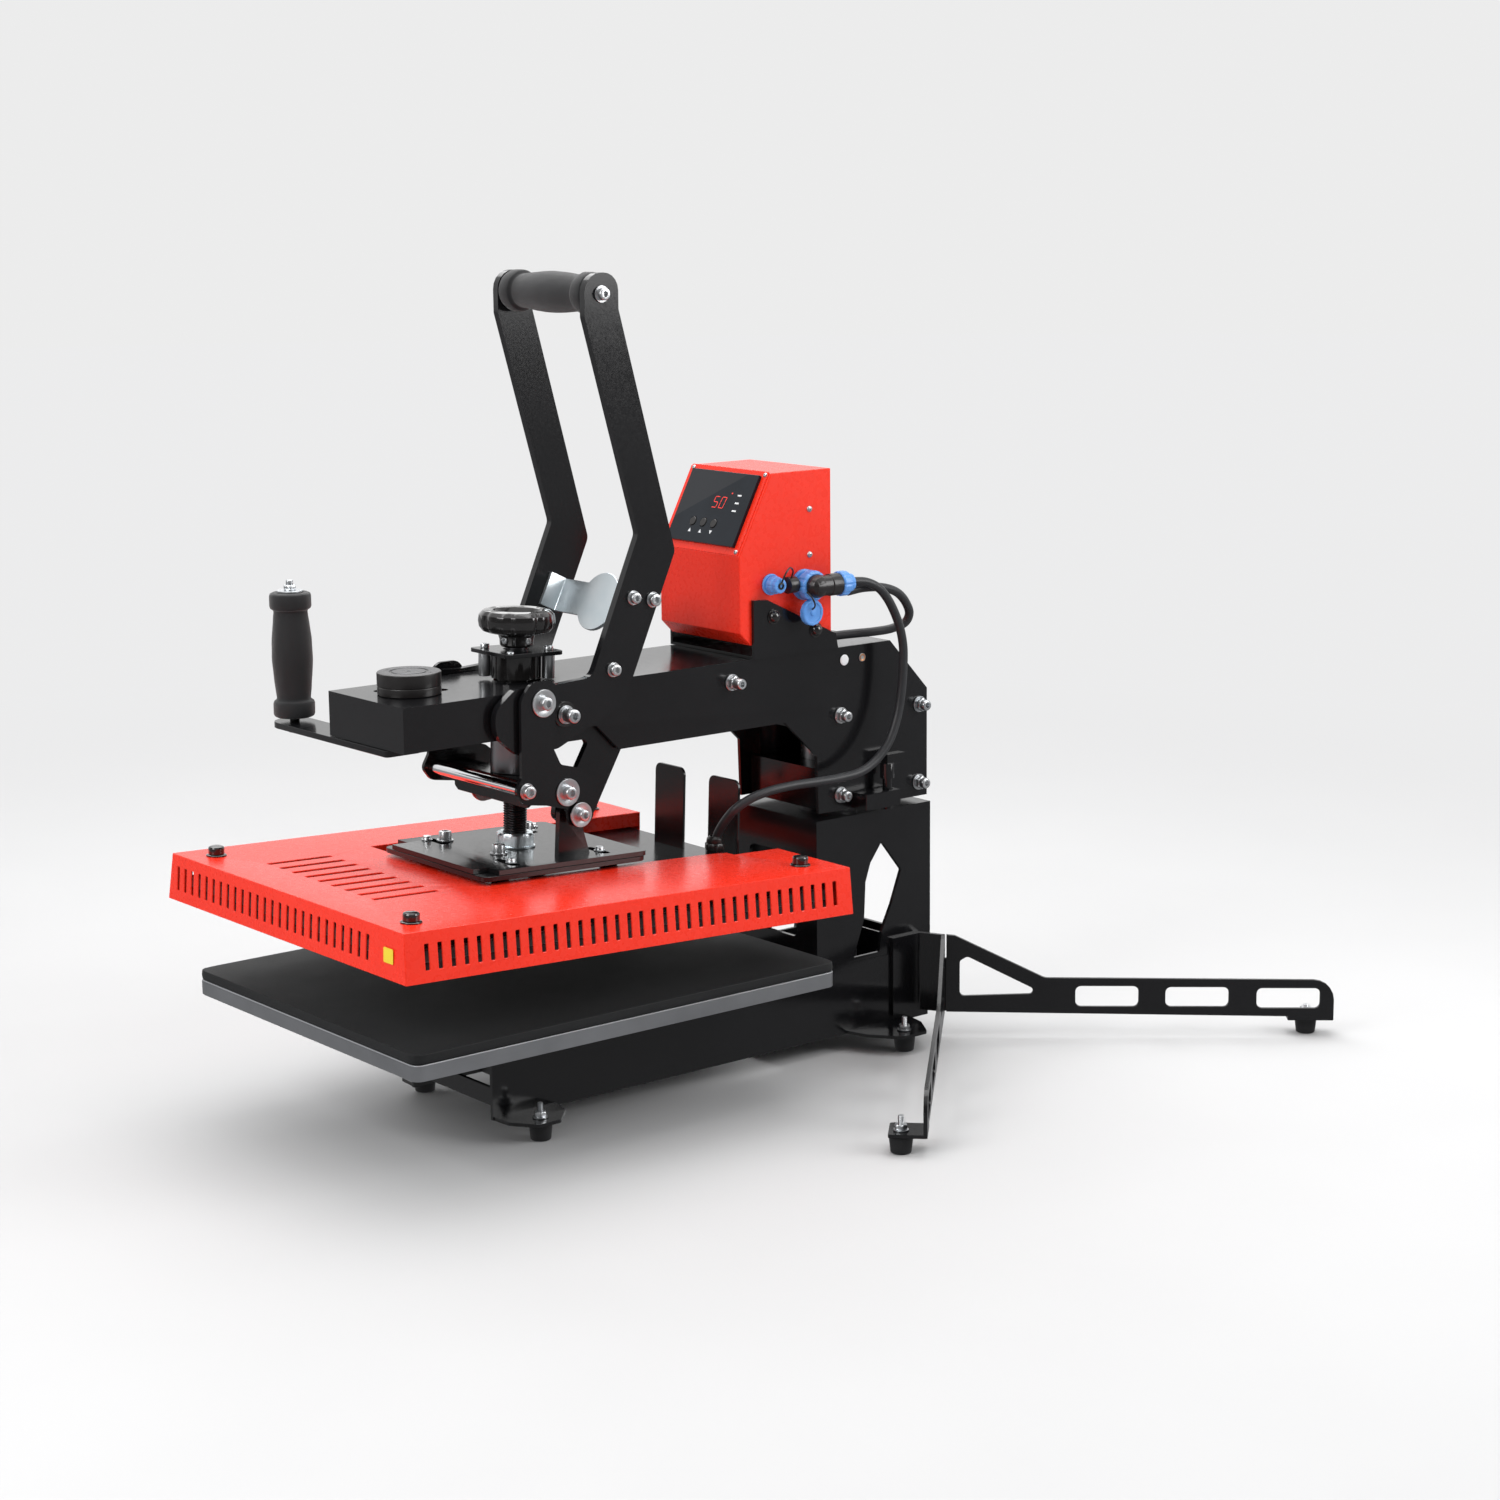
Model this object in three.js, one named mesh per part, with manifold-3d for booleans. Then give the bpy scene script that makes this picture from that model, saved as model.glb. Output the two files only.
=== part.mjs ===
// Swing-away flat heat press: fixed base and lower platen, swinging arm with toggle handle,
// heated platen. Millimetres, +Z up, +Y back to the column, +X to the operator's right.
// Parts are drawn with Z=0 on the bench, X=0 the machine mid-plane, Y=0 the middle of the platen;
// the whole group is then lowered so that the origin is the centre of the pad's top face.
import * as THREE from "three";
import { mergeVertices } from "three/addons/utils/BufferGeometryUtils.js";
import Module from "manifold-3d";

// ---- driving dimensions: _HALF is half a width, _Y0/_Y1 and _Z0/_Z1 are the ends of a span ----
const PLATEN_X = 400;
const PLATEN_Y = 500;
const PLATEN_Z0 = 120;
const PLATEN_T = 15.5;
const PAD_T = 10.2;
const GAP = 0.3; // clearance between separate parts
const SHEET = 4; // sheet thickness of base, column and arm
const LAP = 2; // how far cross sheets stop short of the outer side faces
const BASE_HALF = 73;
const [BASE_Y0, BASE_Y1] = [-83, 490];
const [BASE_Z0, BASE_Z1] = [18, 95];
const COLUMN_HALF = 72;
const [COLUMN_Y0, COLUMN_Y1] = [333, 494];
const COLUMN_Z1 = 255.5;
const SWING_Y = 411; // vertical swing axis
const FOOT_H = 17;
const ARM_HALF = 66.5;
const ARM_Y0 = -167;
const [ARM_Z0, ARM_Z1] = [392, 436];
const TILT = THREE.MathUtils.degToRad(2.3); // the press axis leans back
const [RAM_Y, RAM_Z] = [1, 276]; // origin of the tilted frame
const [PIVOT_Y, PIVOT_Z] = [9.7, 410.7]; // handle pivot
const [CRANK_Y, CRANK_Z] = [-19, 425.7]; // crank pin on the handle
const [LUG_Y, LUG_Z] = [20.5, 311]; // platen pivot

// ---- solids -------------------------------------------------------------
const manifold = await Module();
manifold.setup();

function toSolid(geometry) {
  const flat = geometry.index ? geometry.toNonIndexed() : geometry;
  const bare = new THREE.BufferGeometry().setAttribute("position", flat.getAttribute("position"));
  const merged = mergeVertices(bare, 1e-4);
  const triVerts = new Uint32Array(merged.index.array);
  const vertProperties = new Float32Array(merged.attributes.position.array);
  const make = () =>
    new manifold.Manifold(new manifold.Mesh({ numProp: 3, vertProperties, triVerts }));
  const result = make();
  if (result.volume() >= 0) return result;
  // inside out: turn every triangle over
  for (let i = 0; i < triVerts.length; i += 3) {
    [triVerts[i + 1], triVerts[i + 2]] = [triVerts[i + 2], triVerts[i + 1]];
  }
  return make();
}

function toGeometry(body) {
  const { numProp, numVert, vertProperties, triVerts } = body.getMesh();
  const points = new Float32Array(numVert * 3);
  for (let i = 0; i < numVert; i++) {
    points.set(vertProperties.subarray(i * numProp, i * numProp + 3), i * 3);
  }
  const flat = new THREE.BufferGeometry()
    .setAttribute("position", new THREE.BufferAttribute(points, 3))
    .setIndex(new THREE.BufferAttribute(new Uint32Array(triVerts), 1))
    .toNonIndexed();
  flat.computeVertexNormals();
  return flat;
}

// the helpers below take geometries and solids alike
const asSolid = (part) => (part.isBufferGeometry ? toSolid(part) : part);
const join = (...parts) => parts.map(asSolid).reduce((a, b) => a.add(b));
const cut = (part, ...tools) => tools.reduce((s, tool) => s.subtract(asSolid(tool)), asSolid(part));
const mirrored = (part) =>
  toSolid((part.isBufferGeometry ? part.clone() : toGeometry(part)).scale(-1, 1, 1));
const bothSides = (part) => join(part, mirrored(part));

// ---- shape helpers ------------------------------------------------------
const X_AXIS = new THREE.Vector3(1, 0, 0);
const Y_AXIS = new THREE.Vector3(0, 1, 0);
const Z_AXIS = new THREE.Vector3(0, 0, 1);
const orient = (geometry, x, y, z) =>
  geometry.applyMatrix4(new THREE.Matrix4().makeBasis(x, y, z));

// box from its two corners
const box = (x0, x1, y0, y1, z0, z1) =>
  new THREE.BoxGeometry(x1 - x0, y1 - y0, z1 - z0)
    .translate((x0 + x1) / 2, (y0 + y1) / 2, (z0 + z1) / 2);

// cylinder from start to end along an axis; u, v are its other two coordinates in x, y, z order
function rod(radius, axis, start, end, u, v, segments) {
  const cylinder = new THREE.CylinderGeometry(radius, radius, end - start, segments);
  const middle = (start + end) / 2;
  if (axis === "z") return cylinder.rotateX(Math.PI / 2).translate(u, v, middle);
  if (axis === "x") return cylinder.rotateZ(-Math.PI / 2).translate(middle, u, v);
  return cylinder.translate(u, middle, v);
}

// outlines are lists of [x, y, corner radius]; the radius may be left out
const circle = (x, y, radius, count) =>
  Array.from({ length: count }, (_, i) => {
    const angle = (2 * Math.PI * i) / count;
    return [x + radius * Math.cos(angle), y + radius * Math.sin(angle)];
  });
const rect = (x0, x1, y0, y1, r = 0) => [[x0, y0, r], [x1, y0, r], [x1, y1, r], [x0, y1, r]];

function roundCorners(outline, segments) {
  const count = outline.length;
  return outline.flatMap(([x, y, radius], i) => {
    const corner = new THREE.Vector2(x, y);
    if (!radius) return [corner];
    const before = new THREE.Vector2(...outline[(i + count - 1) % count].slice(0, 2)).sub(corner);
    const after = new THREE.Vector2(...outline[(i + 1) % count].slice(0, 2)).sub(corner);
    const [lengthBefore, lengthAfter] = [before.length(), after.length()];
    before.divideScalar(lengthBefore);
    after.divideScalar(lengthAfter);
    const half = Math.acos(THREE.MathUtils.clamp(before.dot(after), -1, 1)) / 2;
    // the arc may use up to 0.49 of either edge
    const setback = Math.min(radius / Math.tan(half), lengthBefore * 0.49, lengthAfter * 0.49);
    const fitted = setback * Math.tan(half);
    const bisector = before.clone().add(after).normalize();
    const centre = corner.clone().addScaledVector(bisector, fitted / Math.sin(half));
    const from = corner.clone().addScaledVector(before, setback).sub(centre);
    const to = corner.clone().addScaledVector(after, setback).sub(centre);
    const start = Math.atan2(from.y, from.x);
    let sweep = Math.atan2(to.y, to.x) - start;
    if (sweep > Math.PI) sweep -= 2 * Math.PI;
    if (sweep < -Math.PI) sweep += 2 * Math.PI;
    return Array.from({ length: segments + 1 }, (_, k) => {
      const angle = start + (sweep * k) / segments;
      return new THREE.Vector2(
        centre.x + fitted * Math.cos(angle),
        centre.y + fitted * Math.sin(angle),
      );
    });
  });
}

function extrude(outline, depth, holes, segments) {
  const shape = new THREE.Shape(roundCorners(outline, segments));
  shape.holes = holes.map((hole) => new THREE.Path(roundCorners(hole, segments)));
  return new THREE.ExtrudeGeometry(shape, { depth, bevelEnabled: false });
}

// plates drawn in the named plane, growing from x0, z0 or y0 along the third axis
const plateYZ = (outline, x0, depth, holes = [], segments = 4) =>
  orient(extrude(outline, depth, holes, segments), Y_AXIS, Z_AXIS, X_AXIS).translate(x0, 0, 0);
const plateXY = (outline, z0, depth, holes = [], segments = 4) =>
  extrude(outline, depth, holes, segments).translate(0, 0, z0);
const plateXZ = (outline, y0, depth, holes = [], segments = 4) =>
  orient(extrude(outline, depth, holes, segments), X_AXIS, Z_AXIS, Y_AXIS.clone().negate())
    .translate(0, y0 + depth, 0);

// turned piece; the profile is [radius, height], on the axis at both ends or closed
const lathe = (profile, segments) =>
  new THREE.LatheGeometry(profile.map((p) => new THREE.Vector2(...p)), segments);
const turned = (profile, x, y, segments) =>
  lathe(profile, segments).rotateX(Math.PI / 2).translate(x, y, 0);

// ---- scene --------------------------------------------------------------
const root = new THREE.Group();
root.name = "heat_press";
root.position.z = -(PLATEN_Z0 + PLATEN_T + GAP + PAD_T);
const press = new THREE.Group(); // tilted frame of the press axis
press.position.set(0, RAM_Y, RAM_Z);
press.rotation.x = -TILT;
root.add(press);

const COLOURS = {
  black: 0x17181a, red: 0xd92a22, zinc: 0xc9ccd0, steel: 0x9a9da1, alu: 0xb9bcc0,
  rubber: 0x202122, pad: 0x2b2d2f, blue: 0x2f7fd0, board: 0x1e5a34, copper: 0x9c5a32,
  wool: 0xd9d6cc,
};
const METALS = ["zinc", "steel", "alu"];

function addMesh(name, part, colour, parent = root) {
  const material = new THREE.MeshStandardMaterial({
    color: COLOURS[colour],
    roughness: 0.5,
    metalness: METALS.includes(colour) ? 0.9 : 0,
  });
  const mesh = new THREE.Mesh(toGeometry(asSolid(part)), material);
  mesh.name = name;
  parent.add(mesh);
}
// a right-hand part and its mirror image
function addPair(name, part, colour) {
  addMesh(`${name}_right`, part, colour);
  addMesh(`${name}_left`, mirrored(part), colour);
}

// ---- fixed base ---------------------------------------------------------
const OUTRIGGER_X = 100.7; // where both outriggers start
const BASE_FEET = { front: [103.4, -48], rear: [112, 420.6] }; // right-hand feet, [x, y]

function baseFrame() {
  const inner = BASE_HALF - LAP;
  const side = plateYZ(rect(BASE_Y0, BASE_Y1, BASE_Z0, BASE_Z1), BASE_HALF - SHEET, SHEET);
  const footTab = (outline, foot) => plateXY(outline, BASE_Z0, 3.5, [circle(...foot, 4.5, 14)]);
  const frontTab = footTab(
    [[inner, -82], [96, -80, 4], [121, -62, 5], [121, -36, 5], [98, -14, 4], [inner, -8]],
    BASE_FEET.front,
  );
  const rearTab = footTab(
    [[inner, 372], [98, 380, 4], [129, 404, 5], [129, 438, 5], [100, 456, 4], [inner, 462]],
    BASE_FEET.rear,
  );
  const front = box(-inner, inner, BASE_Y0, BASE_Y0 + SHEET, 33, 51);
  const rear = box(-inner, inner, BASE_Y1 - SHEET, BASE_Y1, BASE_Z0, BASE_Z1);
  const floorHole = circle(0, SWING_Y, 26, 24);
  const floor = plateXY(rect(-inner, inner, 280, 486), BASE_Z0 + 0.5, SHEET, [floorHole]);
  // folded bracket on the rear right corner, where both outriggers bolt on
  const bracketX = OUTRIGGER_X - 1;
  const bracket = plateXY([
    [BASE_HALF - 1, 436], [BASE_HALF + 4, 436], [BASE_HALF + 4, 474, 3],
    [bracketX, 486.5], [bracketX, 490.5], [BASE_HALF - 1, 478, 3],
  ], 27, 86 - 27);
  // the bracket outline is drawn 59 high; the full bracket rises 86 from z = 27
  const bracketRest = bracket.scale(1, 1, 86 / 59).translate(0, 0, 27 - (27 * 86) / 59);
  const joint = box(93, bracketX, 489, 494, 27, 86); // closes the joint at the outriggers
  const ribs = [-40, 120].map((y) => box(-inner, inner, y, y + SHEET, 40, BASE_Z1));
  return join(
    bothSides(side), bothSides(frontTab), bothSides(rearTab),
    front, rear, floor, bracketRest, joint, ...ribs,
  );
}
addMesh("base_frame", baseFrame(), "black");

function columnHousing() {
  const z0 = BASE_Z1 + GAP;
  const inner = COLUMN_HALF - LAP;
  // leaf-shaped opening in each side, [y, z, radius]
  const leaf = [
    [424, 221, 1], [452, 186, 3], [438, 150, 6], [424, 122, 4], [421, 100, 1],
    [384, 100, 1], [399, 140, 6], [401, 180, 6], [408, 200, 4],
  ];
  const sideOutline = rect(COLUMN_Y0, COLUMN_Y1, z0, COLUMN_Z1);
  const side = plateYZ(sideOutline, COLUMN_HALF - SHEET, SHEET, [leaf]);
  const frontOutline = rect(-inner, inner, z0, COLUMN_Z1);
  const front = plateXZ(frontOutline, COLUMN_Y0, SHEET, [rect(-40, 40, 125, 215, 8)]);
  const back = cut(
    box(-inner, inner, COLUMN_Y1 - SHEET, COLUMN_Y1, z0, COLUMN_Z1),
    box(-55, 55, COLUMN_Y1 - 8, COLUMN_Y1 + 4, 105, 235),
  );
  const topOutline = rect(-inner, inner, COLUMN_Y0 + 1, COLUMN_Y1 - 1);
  const top = plateXY(topOutline, COLUMN_Z1 - 5, 5, [circle(0, SWING_Y, 30.6, 28)]);
  return join(bothSides(side), front, back, top);
}
addMesh("column_housing", columnHousing(), "black");

// turned post with a foot flange, fixed in the column
addMesh("swing_post", turned([
  [0, 410], [20, 410], [20, 23], [44, 23], [44, 31], [30, 31], [30, 419], [26, 422], [0, 422],
], 0, SWING_Y, 32), "steel");

// rubber foot with its stud
const foot = (x, y, studTop) => turned([
  [0, 0], [9.6, 0], [10.2, 1], [11.8, FOOT_H], [4, FOOT_H], [4, studTop], [0, studTop],
], x, y, 24);
for (const [end, [x, y]] of Object.entries(BASE_FEET)) {
  addMesh(`foot_${end}_right`, foot(x, y, 34), "rubber");
  addMesh(`foot_${end}_left`, foot(-x, y, 34), "rubber");
}

// two rails and three cross bars on the base under the platen
function platenSupport() {
  const z0 = BASE_Z1 + GAP;
  const z1 = PLATEN_Z0 - GAP;
  const crossBars = [-150, 232, 60].map((y) => box(-62, 62, y, y + 30, z0 + 4, z1));
  return join(bothSides(box(44, 62, -150, 262, z0, z1)), ...crossBars);
}
addMesh("platen_support", platenSupport(), "black");

const platenOutline = rect(-PLATEN_X / 2, PLATEN_X / 2, -PLATEN_Y / 2, PLATEN_Y / 2, 9);
addMesh("lower_platen", plateXY(platenOutline, PLATEN_Z0, PLATEN_T), "alu");
addMesh("platen_pad", plateXY(platenOutline, PLATEN_Z0 + PLATEN_T + GAP, PAD_T), "pad");

// Outriggers stand to the right and carry the load when the arm is swung out.
// Each is drawn along +X from its start, then turned by its heading and moved to the base.
const OUTRIGGER_LEN = 392;
const OUTRIGGERS = [
  { name: "rear", heading: 48.6, startY: 489.8, end: OUTRIGGER_LEN + 27, footX: OUTRIGGER_LEN,
    footY: 18, flange: [-1.9, 29] },
  { name: "front", heading: -45, startY: 487.2, end: OUTRIGGER_LEN + 16,
    footX: OUTRIGGER_LEN + 2, footY: -24, flange: [-36, 1.9] },
];

function outrigger({ end, footX, footY, flange }) {
  const flangeX = OUTRIGGER_LEN - 22;
  const outline = [
    [1.5, 27], [flangeX, 22.5], [flangeX, 18], [end, 18, 1], [end, 63, 25],
    [OUTRIGGER_LEN - 284, 65, 14], [11, 112, 4], [1.5, 113],
  ];
  const holes = [
    [[16, 44.7, 5], [107, 47.5, 4], [24, 89, 5], [16, 84, 4]],
    rect(141, 209, 33, 56, 6),
    rect(238, 306, 33, 55, 6),
    [[336, 31.5, 6], [end - 15, 31.5, 6], [end - 15, 54, 6], [336, 54, 6]],
  ];
  const web = plateXZ(outline, -2, 4, holes, 5);
  const tab = plateXY(rect(flangeX, end, ...flange, 3), 18, 3.6);
  return cut(join(web, tab), rod(4.4, "z", 16, 24, footX, footY, 14));
}
for (const leg of OUTRIGGERS) {
  const heading = THREE.MathUtils.degToRad(leg.heading);
  const placed = toGeometry(outrigger(leg)).rotateZ(heading).translate(OUTRIGGER_X, leg.startY, 0);
  addMesh(`outrigger_${leg.name}`, placed, "black");
  const at = new THREE.Vector3(leg.footX, leg.footY, 0).applyAxisAngle(Z_AXIS, heading);
  const standing = foot(at.x + OUTRIGGER_X, at.y + leg.startY, 30);
  addMesh(`outrigger_foot_${leg.name}`, standing, "rubber");
}

// ---- swinging arm -------------------------------------------------------
const ARM_BOLTS = [ // name, y, z
  ["head_bolt_upper_rear", 482.5, 362.5],
  ["head_bolt_lower_rear", 481.5, 277.5],
  ["arm_bolt_middle", 226, 415.6],
];

function armChannel() {
  const inner = ARM_HALF - LAP;
  const outline = [
    [ARM_Y0, ARM_Z0], [56, ARM_Z0], [83, 365], [296, 365], [339, 324], [341, 262],
    [494, 262], [494, 379], [441, ARM_Z1], [ARM_Y0, ARM_Z1],
  ];
  const boltHoles = ARM_BOLTS.map(([, y, z]) => circle(y, z, 5.2, 16));
  const sideHoles = [circle(376.6, 422, 4, 14), ...boltHoles];
  const side = plateYZ(outline, ARM_HALF - SHEET, SHEET, sideHoles);
  const topHoles = [circle(0, 7.3, 22.6, 28), circle(-31, -130, 7, 18), circle(3, -83, 7, 18)];
  const top = plateXY(rect(-inner, inner, ARM_Y0 + 1, 441), ARM_Z1 - SHEET, SHEET, topHoles);
  const front = box(-inner, inner, ARM_Y0, ARM_Y0 + SHEET, ARM_Z0, ARM_Z1);
  const slopeOutline = [[440, ARM_Z1], [440, ARM_Z1 - 5], [491, 377], [494, 379]];
  const slope = plateYZ(slopeOutline, -inner, 2 * inner);
  const back = box(-inner, inner, 490, 494, 262, 380);
  return join(bothSides(side), top, front, slope, back);
}
addMesh("arm_channel", armChannel(), "black");

// two bored blocks between the head plates, joined by side webs
function headBearing() {
  const half = ARM_HALF - SHEET - GAP;
  const bore = circle(0, SWING_Y, 30.4, 32);
  const block = (z0, height) => plateXY(rect(-half, half, 352, 470, 4), z0, height, [bore]);
  const webs = bothSides(box(half - 14, half, 356, 466, 300, 350));
  return join(block(262.3, 44), block(345, 34), webs);
}
addMesh("head_bearing", headBearing(), "steel");

for (const [name, y, z] of ARM_BOLTS) {
  const heads = bothSides(rod(7.6, "x", ARM_HALF + GAP, ARM_HALF + 7.5, y, z, 20));
  addMesh(name, join(rod(4.7, "x", -73, 73, y, z, 16), heads), "zinc");
}

// magnet that holds the handle down
const MAGNET_Y = -117;
addMesh("holding_magnet", turned([
  [0, ARM_Z1 + GAP], [31, ARM_Z1 + GAP], [31, 457], [30, 458], [24, 458], [24, 457],
  [9, 457], [9, 458], [4, 458], [4, 455], [0, 455],
], 0, MAGNET_Y, 36), "black");

// ---- control box over the arm -------------------------------------------
// Pieces on the sloping front are drawn flat in XY with +Z outward, then laid on the slope.
const [SLOPE_Y0, SLOPE_Z0] = [238, 542];
const [SLOPE_Y1, SLOPE_Z1] = [281, 624];
const SLOPE_LEN = Math.hypot(SLOPE_Y1 - SLOPE_Y0, SLOPE_Z1 - SLOPE_Z0);
const slopeUp = new THREE.Vector3(0, SLOPE_Y1 - SLOPE_Y0, SLOPE_Z1 - SLOPE_Z0).normalize();
const slopeOut = X_AXIS.clone().cross(slopeUp);

// along is measured up the slope from its lower edge
function onSlope(geometry, x, along, out) {
  const at = new THREE.Vector3(x, SLOPE_Y0, SLOPE_Z0)
    .addScaledVector(slopeUp, along)
    .addScaledVector(slopeOut, out);
  return orient(geometry, X_AXIS, slopeUp, slopeOut).translate(at.x, at.y, at.z);
}

function controlHousing() {
  const outer = [
    [252, 450.3], [SLOPE_Y0, 464], [SLOPE_Y0, SLOPE_Z0], [SLOPE_Y1, SLOPE_Z1],
    [360, SLOPE_Z1], [360, 450.3],
  ];
  const inner = [
    [253.5, 452.8], [240.6, 465], [240.6, 541.4], [282.8, 621.4], [357.4, 621.4], [357.4, 452.8],
  ];
  const switchHole = box(-16, 16, 352, 370, 470, 500);
  const panelWindow = onSlope(new THREE.BoxGeometry(98, 66, 12), -2, SLOPE_LEN / 2, 0);
  const shell = cut(plateYZ(outer, -66, 132), plateYZ(inner, -63.6, 127.2), switchHole);
  return cut(shell, panelWindow);
}
addMesh("control_housing", controlHousing(), "red");

function controlCradle() {
  const z0 = ARM_Z1 + GAP;
  const outline = [[253, z0], [366, z0], [363, 452], [310, 477], [271, 496], [253, 497]];
  const pan = plateXY(rect(-69, 69, 253.2, 366), z0, 3, [circle(44, 350, 9, 16)]);
  return join(bothSides(plateYZ(outline, 66.4, 3.5)), pan);
}
addMesh("control_cradle", controlCradle(), "black");

// board with two block-shaped components
addMesh("controller_board", join(
  box(-52, 40, 262, 342, 470, 472),
  box(-40, -22, 280, 300, 471.5, 486),
  box(0, 14, 290, 318, 471.5, 480),
), "board");
addMesh("power_transformer", join(
  box(-50, 18, 268, 318, 496, 548),
  box(-36, 4, 260, 326, 502, 542),
), "copper");

const PANEL_ALONG = 0.521 * SLOPE_LEN;
const BUTTON_X0 = -22.4;
const BUTTON_PITCH = 17;
// cylinder at a button's place on the slope
const atButton = (index, radius, out) =>
  onSlope(
    rod(radius, "z", -out.half, out.half, 0, 0, 20),
    BUTTON_X0 + index * BUTTON_PITCH, PANEL_ALONG - 17.6, out.middle,
  );
const panelPlate = onSlope(new THREE.BoxGeometry(110, 79, 4), -0.5, PANEL_ALONG, 2.35);
const buttonHoles = [0, 1, 2].map((i) => atButton(i, 5.2, { half: 7, middle: 2 }));
addMesh("display_panel", cut(panelPlate, ...buttonHoles), "black");
["a", "b", "c"].forEach((letter, i) => {
  addMesh(`set_button_${letter}`, atButton(i, 4.7, { half: 3.5, middle: 1.6 }), "black");
});
addMesh("power_switch", join(
  box(-13, 13, 358, 363.5, 473, 497),
  box(-15.5, 15.5, 360.3, 362.3, 470.5, 499.5),
), "black");

// two circular connectors on the right side of the box, and their cables
const PLUG_X = 66.3;
addMesh("connector_small", join(
  rod(13, "x", PLUG_X, PLUG_X + 3, 278, 511, 24),
  rod(9, "x", PLUG_X + 2, PLUG_X + 17, 278, 511, 24),
), "blue");
addMesh("connector_large", join(
  rod(16, "x", PLUG_X, PLUG_X + 4, 322, 507, 28),
  rod(12.5, "x", PLUG_X + 3, PLUG_X + 26, 322, 507, 28),
  rod(11, "y", 322, 348, PLUG_X + 22, 507, 24),
  rod(8, "y", 346, 368, PLUG_X + 22, 507, 20),
), "blue");

function cable(points, steps) {
  const line = points.map((p) => new THREE.Vector3(...p));
  const extrudePath = new THREE.CatmullRomCurve3(line, false, "centripetal");
  const section = new THREE.Shape(roundCorners(circle(0, 0, 4.6, 8)));
  return new THREE.ExtrudeGeometry(section, { steps, bevelEnabled: false, extrudePath });
}
addMesh("cable_sensor", cable([
  [83, 370, 497], [82, 392, 498.5], [81, 420, 495.5], [80, 440, 488], [79, 452, 477],
  [77, 459, 464], [73, 457, 454.5], [67, 443, 448.5], [61, 424, 446.5], [55, 402, 446],
  [50, 382, 445.5], [49, 372, 445],
], 34), "rubber");
addMesh("cable_platen", cable([
  [90, 369.5, 508], [92, 385, 506], [94, 400, 499], [94, 412, 487.5], [94, 422.2, 472],
  [94, 430.7, 453], [94, 435.1, 433], [94, 435.1, 411.3], [94, 433.5, 391.7],
  [94, 429.3, 368.1], [94.5, 422.5, 349], [95, 412.8, 332.5], [95, 397, 317.5],
  [95, 376.4, 307.5], [94, 346.7, 304.1], [92, 318.1, 303.7], [90, 289.8, 303.9],
  [88, 256.9, 301.9], [85, 234.9, 296.7], [80, 219.4, 287.8], [72, 214, 277.3],
  [62, 211, 261.8], [58, 209.5, 251],
], 64), "rubber");

// ---- fittings on the arm ------------------------------------------------
// grip the operator swings the arm with
const SWING_GRIP = [-161, -150.5]; // x, y
const gripBar = [[-182, -170, 19], [-182, -131, 19], [40, -131, 4], [40, -170, 4]];
addMesh("swing_grip_bracket", join(
  plateXY(gripBar, 385.6, 6),
  rod(5, "z", 391, 527, ...SWING_GRIP, 16),
), "black");
addMesh("swing_grip", turned([
  [5.6, 396], [19, 396], [20.6, 398], [20.6, 407], [18.6, 410], [17, 414], [20, 440],
  [20.4, 460], [20, 480], [17, 503], [18.6, 507], [20.6, 510], [20.6, 519], [19, 521],
  [5.6, 521], [5.6, 396],
], ...SWING_GRIP, 26), "rubber");

// swing lock on the right side of the head
const LOCK = [81, 424]; // x, y
const lockBlock = box(ARM_HALF + GAP, 92, 385, 434, 263, 280);
addMesh("swing_lock_block", cut(lockBlock, rod(5.6, "z", 260, 284, ...LOCK, 20)), "black");
addMesh("swing_lock_pin", join(
  rod(5, "z", 258.5, 308, ...LOCK, 18),
  rod(7.5, "z", 292, 308, ...LOCK, 20),
  box(76.5, 86, 420, 444, 307, 318),
), "black");

// pivot studs of the handle, one on each side of the arm
addPair("handle_pivot", join(
  rod(8, "x", ARM_HALF + GAP, 78, PIVOT_Y, PIVOT_Z, 24),
  rod(7.4, "x", 77, 86, PIVOT_Y, PIVOT_Z, 6),
  rod(11, "x", ARM_HALF + GAP, 68.6, PIVOT_Y, PIVOT_Z, 24),
), "zinc");

// ---- toggle handle ------------------------------------------------------
const HANDLE_THROW = THREE.MathUtils.degToRad(116);
const BAR_IN = 69; // inner face of the handle bars
const BAR_T = 8;
const LINK_IN = 79.5; // inner face of the link plates
const [GRIP_Y, GRIP_Z] = [63.7, 811.8];

function handleBar() {
  const outline = [
    [44, 790, 8], [103, 578, 10], [44, 443, 14], [-14, 440, 16], [-46, 442, 14],
    [-70, 424, 20], [-71, 398, 24], [-42, 374, 22], [2, 378, 16], [34, 392, 16],
    [82, 412, 16], [148, 558, 12], [84, 797, 8], [84, 832, 19], [44, 832, 19],
  ];
  const holes = [circle(PIVOT_Y, PIVOT_Z, 8.5, 24), circle(GRIP_Y, GRIP_Z, 5, 14)];
  const crankPin = rod(6, "x", BAR_IN + BAR_T - 1, 83.2, CRANK_Y, CRANK_Z, 20);
  return join(plateYZ(outline, BAR_IN, BAR_T, holes, 5), crankPin);
}
addPair("handle_bar", handleBar(), "black");

function handleGrip() {
  const end = BAR_IN - GAP;
  const half = [
    [0, -end], [5, -end], [5, -end + 1.4], [21, -end + 1.4], [22.4, -end + 4],
    [22.4, -end + 13], [20, -end + 16], [17.6, -end + 20], [20.4, -30],
  ];
  // the [21, ...] shoulder and its mirror image close the two ends alike
  const otherHalf = half.map(([radius, along]) => [radius, -along]).reverse();
  return lathe([...half, [21, 0], ...otherHalf], 26)
    .rotateZ(-Math.PI / 2)
    .translate(0, GRIP_Y, GRIP_Z);
}
addMesh("handle_grip", handleGrip(), "rubber");

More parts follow.
